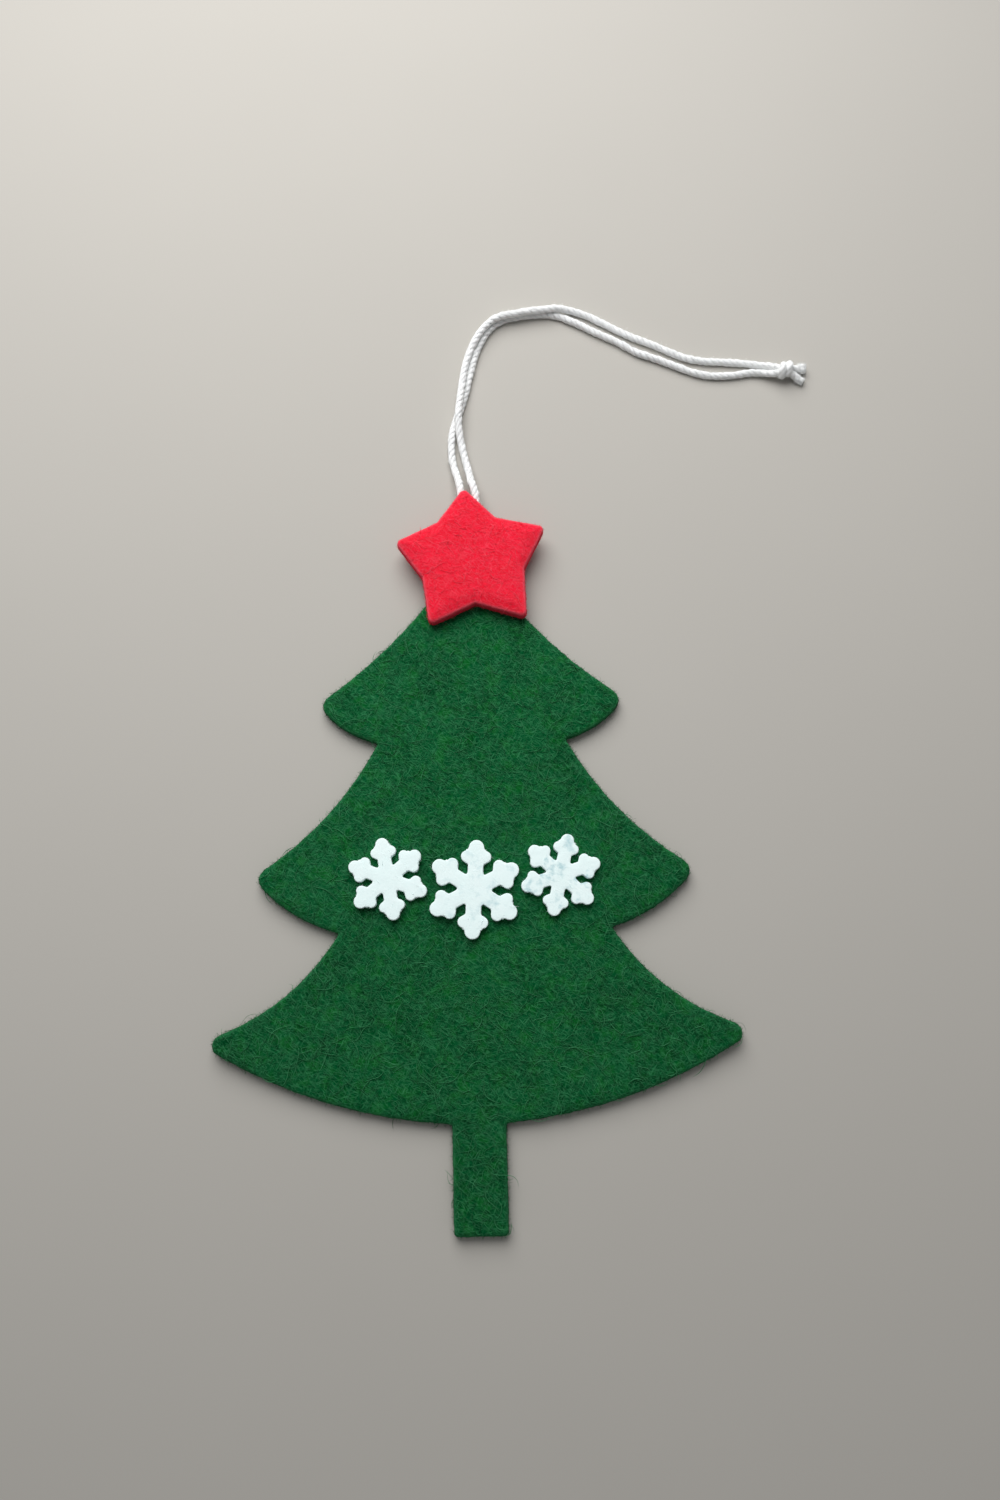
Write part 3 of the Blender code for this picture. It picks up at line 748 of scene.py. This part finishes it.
def fibre_pattern(rings):
    """One fibre to copy: its points across, their places along it from 0 to 1, and its faces."""
    shape = bmesh.new()
    bmesh.ops.create_uvsphere(shape, u_segments=FIBRE_SIDES, v_segments=rings, radius=0.5)
    points = np.array([vertex.co for vertex in shape.verts])
    faces = [[vertex.index for vertex in face.verts] for face in shape.faces]
    shape.free()
    along = np.arccos(np.clip(-2 * points[:, 2], -1, 1)) / math.pi
    across = points[:, :2]
    reach = np.linalg.norm(across, axis=1, keepdims=True)
    across = np.divide(across, reach, out=np.zeros_like(across), where=reach > WELD)
    across *= 0.5 * np.sin(math.pi * along)[:, None] ** FIBRE_FULLNESS
    return across, along, faces


def unit(vectors):
    """The vectors, each one unit long."""
    return vectors / np.maximum(np.linalg.norm(vectors, axis=-1, keepdims=True), LEAST_LENGTH)


def fibres(name, guides, diameters, tones, material, slot, rings=FIBRE_RINGS):
    """Fine bent fibres as one piece. Each fibre's guides are its two ends and the places it bends towards."""
    across, along, faces = fibre_pattern(rings)
    bends = len(guides) - 1
    shares = [math.comb(bends, k) * along**k * (1 - along) ** (bends - k) for k in range(bends + 1)]
    spine = sum(guide[:, None] * share[None, :, None] for guide, share in zip(guides, shares))
    direction = unit(guides[-1] - guides[0])
    upright = np.where(np.abs(direction[:, 2:]) < STEEP, (0.0, 0.0, 1.0), (1.0, 0.0, 0.0))
    side = unit(np.cross(upright, direction))
    over = np.cross(direction, side)
    width = across[None] * diameters[:, None, None]
    points = spine + side[:, None] * width[..., :1] + over[:, None] * width[..., 1:]
    points = points.reshape(-1, 3)
    points[:, 2] = np.maximum(points[:, 2], FLOOR_CLEARANCE)
    size = len(along)
    mesh = bpy.data.meshes.new(name)
    every = [[index + size * fibre for index in face] for fibre in range(len(diameters)) for face in faces]
    mesh.from_pydata(points.tolist(), [], every)
    tone = mesh.attributes.new("tone", "FLOAT", "POINT")
    tone.data.foreach_set("value", np.repeat(tones, size).astype(np.float32))
    mesh.shade_smooth()
    return show(name, mesh, material, slot)


def places_on(mesh, number, rng, wanted):
    """Places spread over the faces whose normals are wanted, and the normals there."""
    mesh.calc_loop_triangles()
    triangles = np.empty(len(mesh.loop_triangles) * 3, int)
    mesh.loop_triangles.foreach_get("vertices", triangles)
    corners = points_of(mesh)[0][triangles.reshape(-1, 3)]
    crosses = np.cross(corners[:, 1] - corners[:, 0], corners[:, 2] - corners[:, 0])
    normals = unit(crosses)
    weights = np.linalg.norm(crosses, axis=1) * wanted(normals)
    chosen = rng.choice(len(weights), number, p=weights / weights.sum())
    first, second = rng.random((2, number))
    turned = first + second > 1
    first[turned], second[turned] = 1 - first[turned], 1 - second[turned]
    picked = corners[chosen]
    places = (
        picked[:, 0]
        + (picked[:, 1] - picked[:, 0]) * first[:, None]
        + (picked[:, 2] - picked[:, 0]) * second[:, None]
    )
    return places, normals[chosen]


class Kind(NamedTuple):
    """A kind of lying fibre: its size beside a usual fibre's, how it bends, its shades and its rings."""

    length: float
    width: float
    bow: float
    lift: float
    brightest: float
    rarity: float
    rings: int


NAP = Kind(length=1.0, width=1.0, bow=0.3, lift=0.07, brightest=0.6, rarity=2.2, rings=5)
WALL_NAP = NAP._replace(length=0.6)
HAIR = Kind(length=1.7, width=2.2, bow=0.42, lift=0.15, brightest=1.0, rarity=0.7, rings=14)
LARGEST_BOW = 0.5
GRAIN = math.radians(-40)
GRAIN_SPREAD = 0.6
GRAIN_SHARE = 0.5
FIBRE_SINK = 0.03 * MM
FIBRE_SLANT = 0.4
FACING_LIMIT = 0.7
WALL_LIMIT = 0.9
BACK_HAIRS_PART = 3

# Lengths are their spread, and the least and the most of the usual one. Widths are the least and the most
LYING_LENGTHS = (0.45, 0.3, 2.2)
LYING_WIDTHS = (0.6, 1.3)
STANDING_LENGTHS = (0.45, 0.25, 2.4)
STANDING_WIDTHS = (0.5, 1.1)
STANDING_OUT = 0.8
STANDING_ASTRAY = 0.75
STANDING_MIDDLE = 0.5
STANDING_CURL = 0.25
EDGE_REACH_SHARE = 0.22
EDGE_TONE = 0.35
EDGE_SEED_STEP = 9


def varied(rng, number, spread, least, most):
    """Lengths beside the usual one, between the least and the most."""
    return np.clip(rng.lognormal(0, spread, number), least, most)


def facing(direction):
    """Wants the faces that look up, for 1, or down, for -1."""
    return lambda normals: np.clip(normals[:, 2] * direction - FACING_LIMIT, 0, 1)


def sideways(normals):
    """Wants the faces of the cut edge."""
    return np.clip(WALL_LIMIT - np.abs(normals[:, 2]), 0, 1)


def every_way(normals):
    """Wants all faces alike."""
    return np.ones(len(normals))


def lying_fibres(name, mesh, number, look, material, slot, seed, wanted, kind):
    """Fibres of a kind that lie on the wanted faces, half of them along the felt's grain."""
    rng = np.random.default_rng(seed)
    places, normals = places_on(mesh, number, rng, wanted)
    angles = np.where(
        rng.random(number) < GRAIN_SHARE,
        rng.normal(GRAIN, GRAIN_SPREAD, number),
        rng.uniform(0, math.tau, number),
    )
    along = np.stack([np.cos(angles), np.sin(angles), np.zeros(number)], axis=1)
    along = unit(along - normals * np.sum(along * normals, axis=1, keepdims=True))
    slant = rng.normal(0, FIBRE_SLANT, number)[:, None]
    along = along * np.cos(slant) + np.cross(normals, along) * np.sin(slant)
    side = np.cross(normals, along)
    long = look.fibre_length * varied(rng, number, *LYING_LENGTHS) * kind.length
    half = along * (long / 2)[:, None]
    starts = places - half - normals * FIBRE_SINK
    ends = places + half - normals * FIBRE_SINK
    middles = []
    for share in (1 / 3, 2 / 3):
        bow = np.clip(rng.normal(0, kind.bow, number), -LARGEST_BOW, LARGEST_BOW) * long
        lift = rng.random(number) * long * kind.lift
        middles.append(starts + (ends - starts) * share + side * bow[:, None] + normals * lift[:, None])
    diameters = look.fibre_diameter * rng.uniform(*LYING_WIDTHS, number) * kind.width
    tones = kind.brightest * rng.random(number) ** kind.rarity
    return fibres(name, (starts, *middles, ends), diameters, tones, material, slot, kind.rings)


def standing_fibres(name, mesh, number, look, material, slot, seed, wanted, reach, brightest=1.0):
    """Short fibres that stand out of the wanted faces."""
    rng = np.random.default_rng(seed)
    places, normals = places_on(mesh, number, rng, wanted)
    astray = rng.normal(0, 1, (number, 3))
    long = look.fibre_length * reach * varied(rng, number, *STANDING_LENGTHS)
    out = unit(normals * STANDING_OUT + astray * STANDING_ASTRAY)
    curl = rng.normal(0, STANDING_CURL, (number, 3))
    starts = places - normals * FIBRE_SINK
    middles = places + (out * STANDING_MIDDLE + curl) * long[:, None]
    ends = places + out * long[:, None]
    diameters = look.fibre_diameter * rng.uniform(*STANDING_WIDTHS, number)
    tones = brightest * rng.random(number)
    return fibres(name, (starts, middles, ends), diameters, tones, material, slot)


def nap(piece, look, material, slot):
    """Loose fibres and hairs on the front, the back and the cut edge of a felt piece."""
    seed = SEEDS[piece.name]
    few = when_quick()
    lying = (
        ("nap", look.front_fibres, facing(1), NAP),
        ("hairs", look.hairs, facing(1), HAIR),
        ("back_nap", look.back_fibres, facing(-1), NAP),
        ("back_hairs", look.hairs // BACK_HAIRS_PART, facing(-1), HAIR),
        ("wall_nap", look.wall_fibres, sideways, WALL_NAP),
    )
    loose = []
    for offset, (part, number, *how) in enumerate(lying):
        name = f"{piece.name}_{part}"
        number = int(number * few)
        loose.append(lying_fibres(name, piece.data, number, look, material, slot, seed + offset, *how))
    name, number = f"{piece.name}_edge_nap", int(look.edge_fibres * few)
    how = (seed + EDGE_SEED_STEP, sideways, EDGE_REACH_SHARE, EDGE_TONE)
    loose.append(standing_fibres(name, piece.data, number, look, material, slot, *how))
    return loose


ROUTE_STEPS = 8
LINE_STEP = 0.22 * MM


def bight_route():
    """The twine's turn under the star, from its left leg round to its right one."""
    turned = Matrix.Translation(BIGHT_CENTRE) @ Matrix.Rotation(BIGHT_TURN, 4, "Z")
    points = []
    for degrees in BIGHT_ANGLES:
        place = Vector((math.cos(math.radians(degrees)), math.sin(math.radians(degrees)), 0))
        points.append(turned @ (place * BIGHT_RADIUS))
    return points


def smooth_line(route):
    """A smooth curve through the route's points, and how far along it each of them lies."""
    places = [Vector(point) for point in route]
    padded = [2 * places[0] - places[1], *places, 2 * places[-1] - places[-2]]
    fine = [places[0]]
    marks = [0.0]
    run = 0.0
    for before, start, end, after in zip(padded, padded[1:], padded[2:], padded[3:]):
        leave = start + (end - before) / 6
        arrive = end - (after - start) / 6
        for point in interpolate_bezier(start, leave, arrive, end, ROUTE_STEPS + 1)[1:]:
            run += (point - fine[-1]).length
            fine.append(point)
        marks.append(run)
    return np.array(fine), marks


class Line:
    """A line with a steady frame along it, read at any distance from its start."""

    def __init__(self, points):
        steps = np.linalg.norm(np.diff(points, axis=0), axis=1)
        self.reached = np.concatenate([[0], np.cumsum(steps)])
        self.length = self.reached[-1]
        self.points = points
        tangents = unit(np.gradient(points, self.reached, axis=0))
        normal = Vector(tangents[0]).orthogonal().normalized()
        normals = [normal]
        for before, after in zip(tangents, tangents[1:]):
            turn = Vector(before).rotation_difference(Vector(after))
            normal = turn @ normal
            normals.append(normal)
        self.normals = unit(np.array(normals))
        self.sides = np.cross(tangents, self.normals)

    def at(self, distances, table):
        """A table's rows read at these distances."""
        return np.stack([np.interp(distances, self.reached, table[:, k]) for k in range(3)], axis=1)

    def around(self, distances, turn, out):
        """Places at these distances, out from the line by so much and turned about it."""
        sideways = self.at(distances, self.normals) * (np.cos(turn) * out)[:, None]
        upwards = self.at(distances, self.sides) * (np.sin(turn) * out)[:, None]
        return self.at(distances, self.points) + (sideways + upwards)


# How far the yarns open at the cut ends of the upper and the lower tail
UPPER_TAIL_BLOOM = 1
LOWER_TAIL_BLOOM = 0.15
BLOOM_REACH = 1.9 * MM
BLOOM_SPREAD = 0.5
BLOOM_SWELL = 0.85
ROUNDED_END = 0.65 * MM
LEAST_ROUND = 0.01
PLY_RADIUS_SHARE = 0.48
PLY_PLACE_SHARE = 0.16
PLY_UNEVENNESS = 0.26
PLY_NOISE_STEP = 7.0
LUMPS_PER_TURN = 2.5


def yarns(line, start, end, look, blooms=(0, 0)):
    """The twine's yarns between two distances along a line: for each, its points and their radii.

    Where a cut end blooms, its yarns open and swell by that share and end round.
    """
    steps = max(2, round((end - start) / LINE_STEP))
    distances = np.linspace(start, end, steps + 1)
    opened = np.zeros(len(distances))
    rounded = np.ones(len(distances))
    for bloom, left in zip(blooms, (distances, line.length - distances)):
        if bloom:
            near = np.clip(1 - left / BLOOM_REACH, 0, 1)
            opened = np.maximum(opened, bloom * near * near * (3 - 2 * near))
            closing = np.clip(1 - left / (ROUNDED_END * (1 + bloom)), 0, 1)
            rounded = np.sqrt(np.clip(1 - closing**2, LEAST_ROUND, 1))
    strands = []
    for ply in range(look.plies):
        turn = math.tau * (distances / look.lay + ply / look.plies)
        lumps = distances / look.lay * LUMPS_PER_TURN
        uneven = np.array([noise.noise((lump, ply * PLY_NOISE_STEP, 0)) for lump in lumps])
        out = look.diameter * PLY_PLACE_SHARE * (1 + opened * BLOOM_SPREAD) * rounded
        radii = look.diameter * PLY_RADIUS_SHARE * (1 + PLY_UNEVENNESS * uneven)
        radii *= (1 + opened * BLOOM_SWELL) * rounded
        strands.append((line.around(distances, turn, out), radii))
    return strands


YARN_ROUNDNESS = 3


def yarn_mesh(name, strands, look):
    """Round yarns with closed ends, as one mesh. Its UV map is in metres along a yarn, and 1 round it."""
    shape = bmesh.new()
    for points, radii in strands:
        data = bpy.data.curves.new(name, "CURVE")
        data.dimensions = "3D"
        data.bevel_depth = look.diameter * PLY_RADIUS_SHARE
        data.bevel_resolution = YARN_ROUNDNESS
        data.use_fill_caps = True
        spline = data.splines.new("POLY")
        spline.points.add(len(points) - 1)
        for target, point, radius in zip(spline.points, points, radii):
            target.co = (*point, 1)
            target.radius = radius / data.bevel_depth
        mesh = made_mesh(bpy.data.objects.new(f"{name}_draft", data))
        far = Line(points).length
        for corner in mesh.uv_layers.active.data:
            corner.uv.x *= far
        shape.from_mesh(mesh)
    bmesh.ops.remove_doubles(shape, verts=shape.verts, dist=WELD)
    for vertex in shape.verts:
        vertex.co.z = max(vertex.co.z, FLOOR_CLEARANCE)
    mesh = bpy.data.meshes.new(name)
    shape.to_mesh(mesh)
    shape.free()
    mesh.shade_smooth()
    return mesh


COTTON_BENDS = 3
COTTON_LIFT = 0.1
COTTON_LOOSE = 0.16 * MM
COTTON_LENGTH_SHARE = 1.6
COTTON_LENGTHS = (0.4, 0.4, 2.2)
COTTON_WIDTHS = (0.7, 1.5)
COTTON_STRAY = 0.5
COTTON_RINGS = 5


def yarn_fibres(name, strands, number, look, material, slot, seed):
    """Fibres that lie along the yarns' surfaces, with some ends working loose."""
    rng = np.random.default_rng(seed)
    guides = [[] for _ in range(COTTON_BENDS + 1)]
    total = sum(Line(points).length for points, _ in strands)
    for points, radii in strands:
        yarn = Line(points)
        few = round(number * yarn.length / total)
        starts = rng.uniform(0, yarn.length, few)
        long = look.fibre_length * COTTON_LENGTH_SHARE * varied(rng, few, *COTTON_LENGTHS)
        angles = rng.uniform(0, math.tau, few)
        twist = math.tau * COTTON_TURN / MM * long + rng.normal(0, COTTON_STRAY, few)
        for bend, guide in enumerate(guides):
            distances = np.clip(starts + long * bend / COTTON_BENDS, 0, yarn.length)
            out = np.interp(distances, yarn.reached, radii)
            if 0 < bend < COTTON_BENDS:
                out *= 1 + COTTON_LIFT
            elif bend == COTTON_BENDS:
                out += rng.exponential(COTTON_LOOSE, few)
            guide.append(yarn.around(distances, angles + twist * bend / COTTON_BENDS, out))
    guides = [np.concatenate(rows) for rows in guides]
    number = len(guides[0])
    diameters = look.fibre_diameter * rng.uniform(*COTTON_WIDTHS, number)
    return fibres(name, guides, diameters, rng.random(number), material, slot, COTTON_RINGS)


def knot_frame():
    """The knot's place and turn."""
    return Matrix.Translation(KNOT_PLACE) @ Matrix.Rotation(KNOT_TURN, 4, "Z")


def whole_twine():
    """The one piece of string from cut end to cut end, with the distances where its stretches part."""
    place = knot_frame()
    left_tail = [place @ Vector(point) for point in LEFT_TAIL_ROUTE]
    right_tail = [place @ Vector(point) for point in RIGHT_TAIL_ROUTE]
    left = [*reversed(left_tail), *reversed(LEFT_STRAND_ROUTE)]
    turn = bight_route()
    right = [*RIGHT_STRAND_ROUTE, *right_tail]
    fine, marks = smooth_line([*left, *turn, *right])
    knot_left = marks[len(LEFT_TAIL_ROUTE)]
    star_left = marks[len(left) - 1]
    star_right = marks[len(left) + len(turn)]
    knot_right = marks[len(left) + len(turn) + len(RIGHT_STRAND_ROUTE) - 1]
    return Line(fine), (knot_left, star_left, star_right, knot_right)


def wrap_line():
    """The turns of twine round the knot, both ends tucked in."""
    place = knot_frame()
    steps = round(WRAP_TURNS * WRAP_STEPS)
    points = []
    for step in range(steps + 1):
        share = step / steps
        turn = WRAP_START + math.tau * WRAP_TURNS * share
        tuck = min(1, min(share, 1 - share) * 2 * WRAP_TURNS)
        out = WRAP_END_SHARE + (1 - WRAP_END_SHARE) * tuck
        along = WRAP_PITCH * WRAP_TURNS * (share - 0.5) + WRAP_SLANT * math.cos(turn)
        across = WRAP_HALF_WIDTH * out * math.cos(turn)
        up = WRAP_HALF_HEIGHT * out * math.sin(turn)
        points.append(place @ Vector((along, across, up)))
    return Line(np.array(points))


FRAY_REACH = 0.6
FRAY_LENGTHS = (0.35, 0.4, 2)
FRAY_WIDTHS = (0.7, 1.6)
FRAY_CROWDING = 1.5
FRAY_ROOTS_SHARE = 0.42
FRAY_OUT = (0.4, 1.4)
FRAY_ASIDE = 0.9
FRAY_ASTRAY = 0.3
FRAY_MIDDLE_OUT = 0.3
FRAY_MIDDLE_LEAN = 0.4
FRAY_CURL = 0.2


def fray(name, ends, look, material, slot):
    """The brushes of loose cotton at the cut ends. An end is a place, the way it points and its width."""
    rng = np.random.default_rng(SEEDS[name])
    number = int(look.fray * when_quick())
    starts, middles, tips = [], [], []
    for place, out, width in ends:
        back = rng.random((number, 1)) ** FRAY_CROWDING * BLOOM_REACH
        spread = unit(rng.normal(0, 1, (number, 3)))
        spread = unit(spread - out * np.sum(spread * out, axis=1, keepdims=True))
        aside = spread * np.sqrt(rng.random((number, 1)))
        root = place - out * (back + ROUNDED_END / 2) + aside * width * FRAY_ROOTS_SHARE
        onwards = out * rng.uniform(*FRAY_OUT, (number, 1))
        lean = unit(onwards + aside * FRAY_ASIDE + rng.normal(0, FRAY_ASTRAY, (number, 3)))
        long = look.fibre_length * FRAY_REACH * varied(rng, number, *FRAY_LENGTHS)[:, None]
        curl = rng.normal(0, FRAY_CURL, (number, 3))
        starts.append(root)
        middles.append(root + (out * FRAY_MIDDLE_OUT + lean * FRAY_MIDDLE_LEAN + curl) * long)
        tips.append(root + lean * long)
    total = number * len(ends)
    diameters = look.fibre_diameter * rng.uniform(*FRAY_WIDTHS, total)
    guides = [np.concatenate(rows) for rows in (starts, middles, tips)]
    return fibres(name, guides, diameters, rng.random(total), material, slot)


FLOOR_HALF_SIZE = 1.5
SKY_COLOUR = (0.96, 0.98, 1.0)
LAMP_PLACE = (-0.05, 0.28, 0.29)
LAMP_SIZE = 0.42
CAMERA_NEAREST = 0.01


def stand(scene, name, data, place, turn):
    """Puts a lamp or a camera in the scene, in its place. One of that name is used again."""
    thing = bpy.data.objects.get(name) or bpy.data.objects.new(name, data)
    if name not in scene.collection.objects:
        scene.collection.objects.link(thing)
    thing.location = place
    thing.rotation_euler = turn
    return thing


class FELTTREE_OT_stage(bpy.types.Operator):
    """Sets the floor, the lamp and the camera of the photograph"""

    bl_idname = "felttree.stage"
    bl_label = "Stage"

    def execute(self, context):
        look = context.scene.felttree_stage
        context.scene.view_settings.view_transform = "Standard"
        self.add_floor(look)
        self.add_sky(context.scene, look)
        self.add_lamp(context.scene, look)
        self.add_camera(context.scene, look)
        return {"FINISHED"}

    def add_floor(self, look):
        mesh = bpy.data.meshes.new("floor")
        shape = bmesh.new()
        bmesh.ops.create_grid(shape, x_segments=1, y_segments=1, size=FLOOR_HALF_SIZE)
        shape.to_mesh(mesh)
        shape.free()
        show("floor", mesh, floor_finish(look))

    def add_sky(self, scene, look):
        """Even light, which the camera and mirrors see as a pale backdrop."""
        scene.world = bpy.data.worlds.get("studio") or bpy.data.worlds.new("studio")
        scene.world.use_nodes = True
        world = Nodes(scene.world.node_tree)
        rays = world.add("ShaderNodeLightPath").outputs
        seen = {0: rays["Is Camera Ray"], 1: rays["Is Glossy Ray"]}
        either = world.add("ShaderNodeMath", seen, operation="MAXIMUM").outputs[0]
        light = world.add("ShaderNodeBackground", {"Color": (*SKY_COLOUR, 1), "Strength": look.sky})
        backdrop = world.add("ShaderNodeBackground", {"Color": (*look.backdrop, 1)})
        both = world.add("ShaderNodeMixShader", {0: either, 1: light.outputs[0], 2: backdrop.outputs[0]})
        world.add("ShaderNodeOutputWorld", {"Surface": both.outputs[0]})

    def add_lamp(self, scene, look):
        """A broad soft lamp over the top of the picture, so that the ornament's foot is a little darker."""
        data = bpy.data.lights.get("lamp") or bpy.data.lights.new("lamp", "AREA")
        data.energy = look.key
        data.shape = "DISK"
        data.size = LAMP_SIZE
        turn = (-Vector(LAMP_PLACE)).to_track_quat("-Z", "Y").to_euler()
        stand(scene, "lamp", data, LAMP_PLACE, turn)

    def add_camera(self, scene, look):
        data = bpy.data.cameras.get("camera") or bpy.data.cameras.new("camera")
        data.lens = look.lens
        data.clip_start = CAMERA_NEAREST
        place = (look.across, look.along, look.height)
        scene.camera = stand(scene, "camera", data, place, (look.tilt, 0, look.roll))


CORD_PATH_POINTS = 160
FUZZ_REACH = 0.4


class FELTTREE_OT_twine(bpy.types.Operator):
    """Twists the cotton twine: two free strands, the turn under the star, the knot and its frayed tails"""

    bl_idname = "felttree.twine"
    bl_label = "Twine"

    def execute(self, context):
        look = context.scene.felttree_twine
        cotton = twine_finish(look)
        fluff = fibre_finish("cotton_fibres", look.deep, look.body)
        line, (knot_left, star_left, star_right, knot_right) = whole_twine()

        wraps = wrap_line()
        knot_yarns = [
            *yarns(line, 0, knot_left, look, blooms=(UPPER_TAIL_BLOOM, 0)),
            *yarns(line, knot_right, line.length, look, blooms=(0, LOWER_TAIL_BLOOM)),
            *yarns(wraps, 0, wraps.length, look),
        ]
        knot, knot_loose = self.twisted("twine_knot", "cord_knot", knot_yarns, look, cotton, fluff)
        ends = []
        for first, second, bloom in ((0, 1, UPPER_TAIL_BLOOM), (-1, -2, LOWER_TAIL_BLOOM)):
            out = Vector(line.points[first] - line.points[second]).normalized()
            reach = PLY_PLACE_SHARE * (1 + bloom * BLOOM_SPREAD)
            reach += PLY_RADIUS_SHARE * (1 + bloom * BLOOM_SWELL)
            ends.append((line.points[first], np.array(out), look.diameter * 2 * reach))
        tufts = fray("twine_frayed_ends", ends, look, fluff, TWINE_SLOT)

        bight = yarns(line, star_left, star_right, look)
        self.twisted("twine_bight", "cord_bight", bight, look, cotton, fluff)
        stretches = (
            ("left_strand", knot_left, star_left, LEFT_STRAND_ROUTE),
            ("right_strand", star_right, knot_right, RIGHT_STRAND_ROUTE),
        )
        for name, start, end, route in stretches:
            strands = yarns(line, start, end, look)
            strand, loose = self.twisted(f"twine_{name}", f"cord_{name}", strands, look, cotton, fluff)
            distances = np.linspace(start, end, CORD_PATH_POINTS)
            line.at(distances, line.points)
        return {"FINISHED"}

    def twisted(self, name, node, strands, look, cotton, fluff):
        """A stretch of twine, with the fibres on it in proportion to its length."""
        piece = show(name, yarn_mesh(name, strands, look), cotton, TWINE_SLOT)
        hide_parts(node)
        share = sum(Line(points).length for points, _ in strands) * when_quick()
        coat = (look, fluff, TWINE_SLOT)
        seed = SEEDS[name]
        lying = yarn_fibres(f"{name}_fibres", strands, int(look.lying * share), *coat, seed)
        how = (seed + 1, every_way, FUZZ_REACH)
        standing = standing_fibres(f"{name}_fuzz", piece.data, int(look.fuzz * share), *coat, *how)
        return piece, (lying, standing)


def felt_finishes(colour_name, look, **how):
    """The slot of a felt of that colour, its finish, and the finish of its loose fibres."""
    slot = f"{colour_name}_felt"
    cloth = felt_finish(slot, look, **how)
    return slot, cloth, fibre_finish(f"{colour_name}_fibres", look.body, look.pale)


def add_felt(name, node, look, finishes, seat_gap, tip_lift=0.0):
    slot, cloth, fluff = finishes
    piece = felted(name, node, look, cloth, slot, seat_gap, tip_lift)
    nap(piece, look, fluff, slot)


def gap_over_tree(node):
    """How far a node's underside lies over the tree's front."""
    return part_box(node)[0].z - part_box("tree_felt")[1].z


class FELTTREE_OT_tree(bpy.types.Operator):
    """Felts the green tree and gives it its nap"""

    bl_idname = "felttree.tree"
    bl_label = "Tree"

    def execute(self, context):
        look = context.scene.felttree_tree
        finishes = felt_finishes("green", look)
        add_felt("tree", "tree_felt", look, finishes, -look.rest_height, look.tip_lift)
        return {"FINISHED"}


class FELTTREE_OT_star(bpy.types.Operator):
    """Felts the red star, pressed hollow over the twine"""

    bl_idname = "felttree.star"
    bl_label = "Star"

    def execute(self, context):
        look = context.scene.felttree_star
        finishes = felt_finishes("red", look, streak_share=0.28)
        add_felt("star", "star_felt", look, finishes, gap_over_tree("star_felt"))
        return {"FINISHED"}


class FELTTREE_OT_snowflakes(bpy.types.Operator):
    """Felts the three white snowflakes, with glue soaked through them in places"""

    bl_idname = "felttree.snowflakes"
    bl_label = "Snowflakes"

    def execute(self, context):
        look = context.scene.felttree_flake
        finishes = felt_finishes("white", look, streak_share=0.3, blotches=True)
        for side in ("left", "middle", "right"):
            node = f"snowflake_{side}"
            add_felt(f"flake_{side}", node, look, finishes, gap_over_tree(node))
        return {"FINISHED"}


class FELTTREE_OT_glue(bpy.types.Operator):
    """Gives the dabs of glue their finish"""

    bl_idname = "felttree.glue"
    bl_label = "Glue"

    def execute(self, context):
        finish = glue_finish(context.scene.felttree_glue)
        for name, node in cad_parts.items():
            if "glue" in name:
                node.data.materials.clear()
                node.data.materials.append(finish)
        return {"FINISHED"}


class FELTTREE_PT_panel(bpy.types.Panel):
    """Builds each piece of the ornament"""

    bl_idname = "FELTTREE_PT_panel"
    bl_label = "Felt Tree"
    bl_space_type = "VIEW_3D"
    bl_region_type = "UI"
    bl_category = "Felt Tree"

    def draw(self, context):
        for operator, group in PIECES:
            box = self.layout.box()
            box.operator(operator.bl_idname)
            settings = getattr(context.scene, group)
            for name in settings.bl_rna.properties.keys():
                if name not in ("rna_type", "name"):
                    box.prop(settings, name)


GROUPS = {
    "felttree_stage": FELTTREE_PG_stage,
    "felttree_twine": FELTTREE_PG_twine,
    "felttree_tree": FELTTREE_PG_tree,
    "felttree_star": FELTTREE_PG_star,
    "felttree_flake": FELTTREE_PG_flake,
    "felttree_glue": FELTTREE_PG_glue,
}
PIECES = (
    (FELTTREE_OT_stage, "felttree_stage"),
    (FELTTREE_OT_twine, "felttree_twine"),
    (FELTTREE_OT_tree, "felttree_tree"),
    (FELTTREE_OT_star, "felttree_star"),
    (FELTTREE_OT_snowflakes, "felttree_flake"),
    (FELTTREE_OT_glue, "felttree_glue"),
)


def register():
    for name, group in GROUPS.items():
        bpy.utils.register_class(group)
        setattr(bpy.types.Scene, name, bpy.props.PointerProperty(type=group))
    for operator, _ in PIECES:
        bpy.utils.register_class(operator)
    bpy.utils.register_class(FELTTREE_PT_panel)


def unregister():
    bpy.utils.unregister_class(FELTTREE_PT_panel)
    for operator, _ in reversed(PIECES):
        bpy.utils.unregister_class(operator)
    for name, group in reversed(GROUPS.items()):
        delattr(bpy.types.Scene, name)
        bpy.utils.unregister_class(group)


def main():
    register()
    bpy.ops.felttree.stage()
    bpy.ops.felttree.twine()
    bpy.ops.felttree.tree()
    bpy.ops.felttree.star()
    bpy.ops.felttree.snowflakes()
    bpy.ops.felttree.glue()


if __name__ == "__main__":
    main()
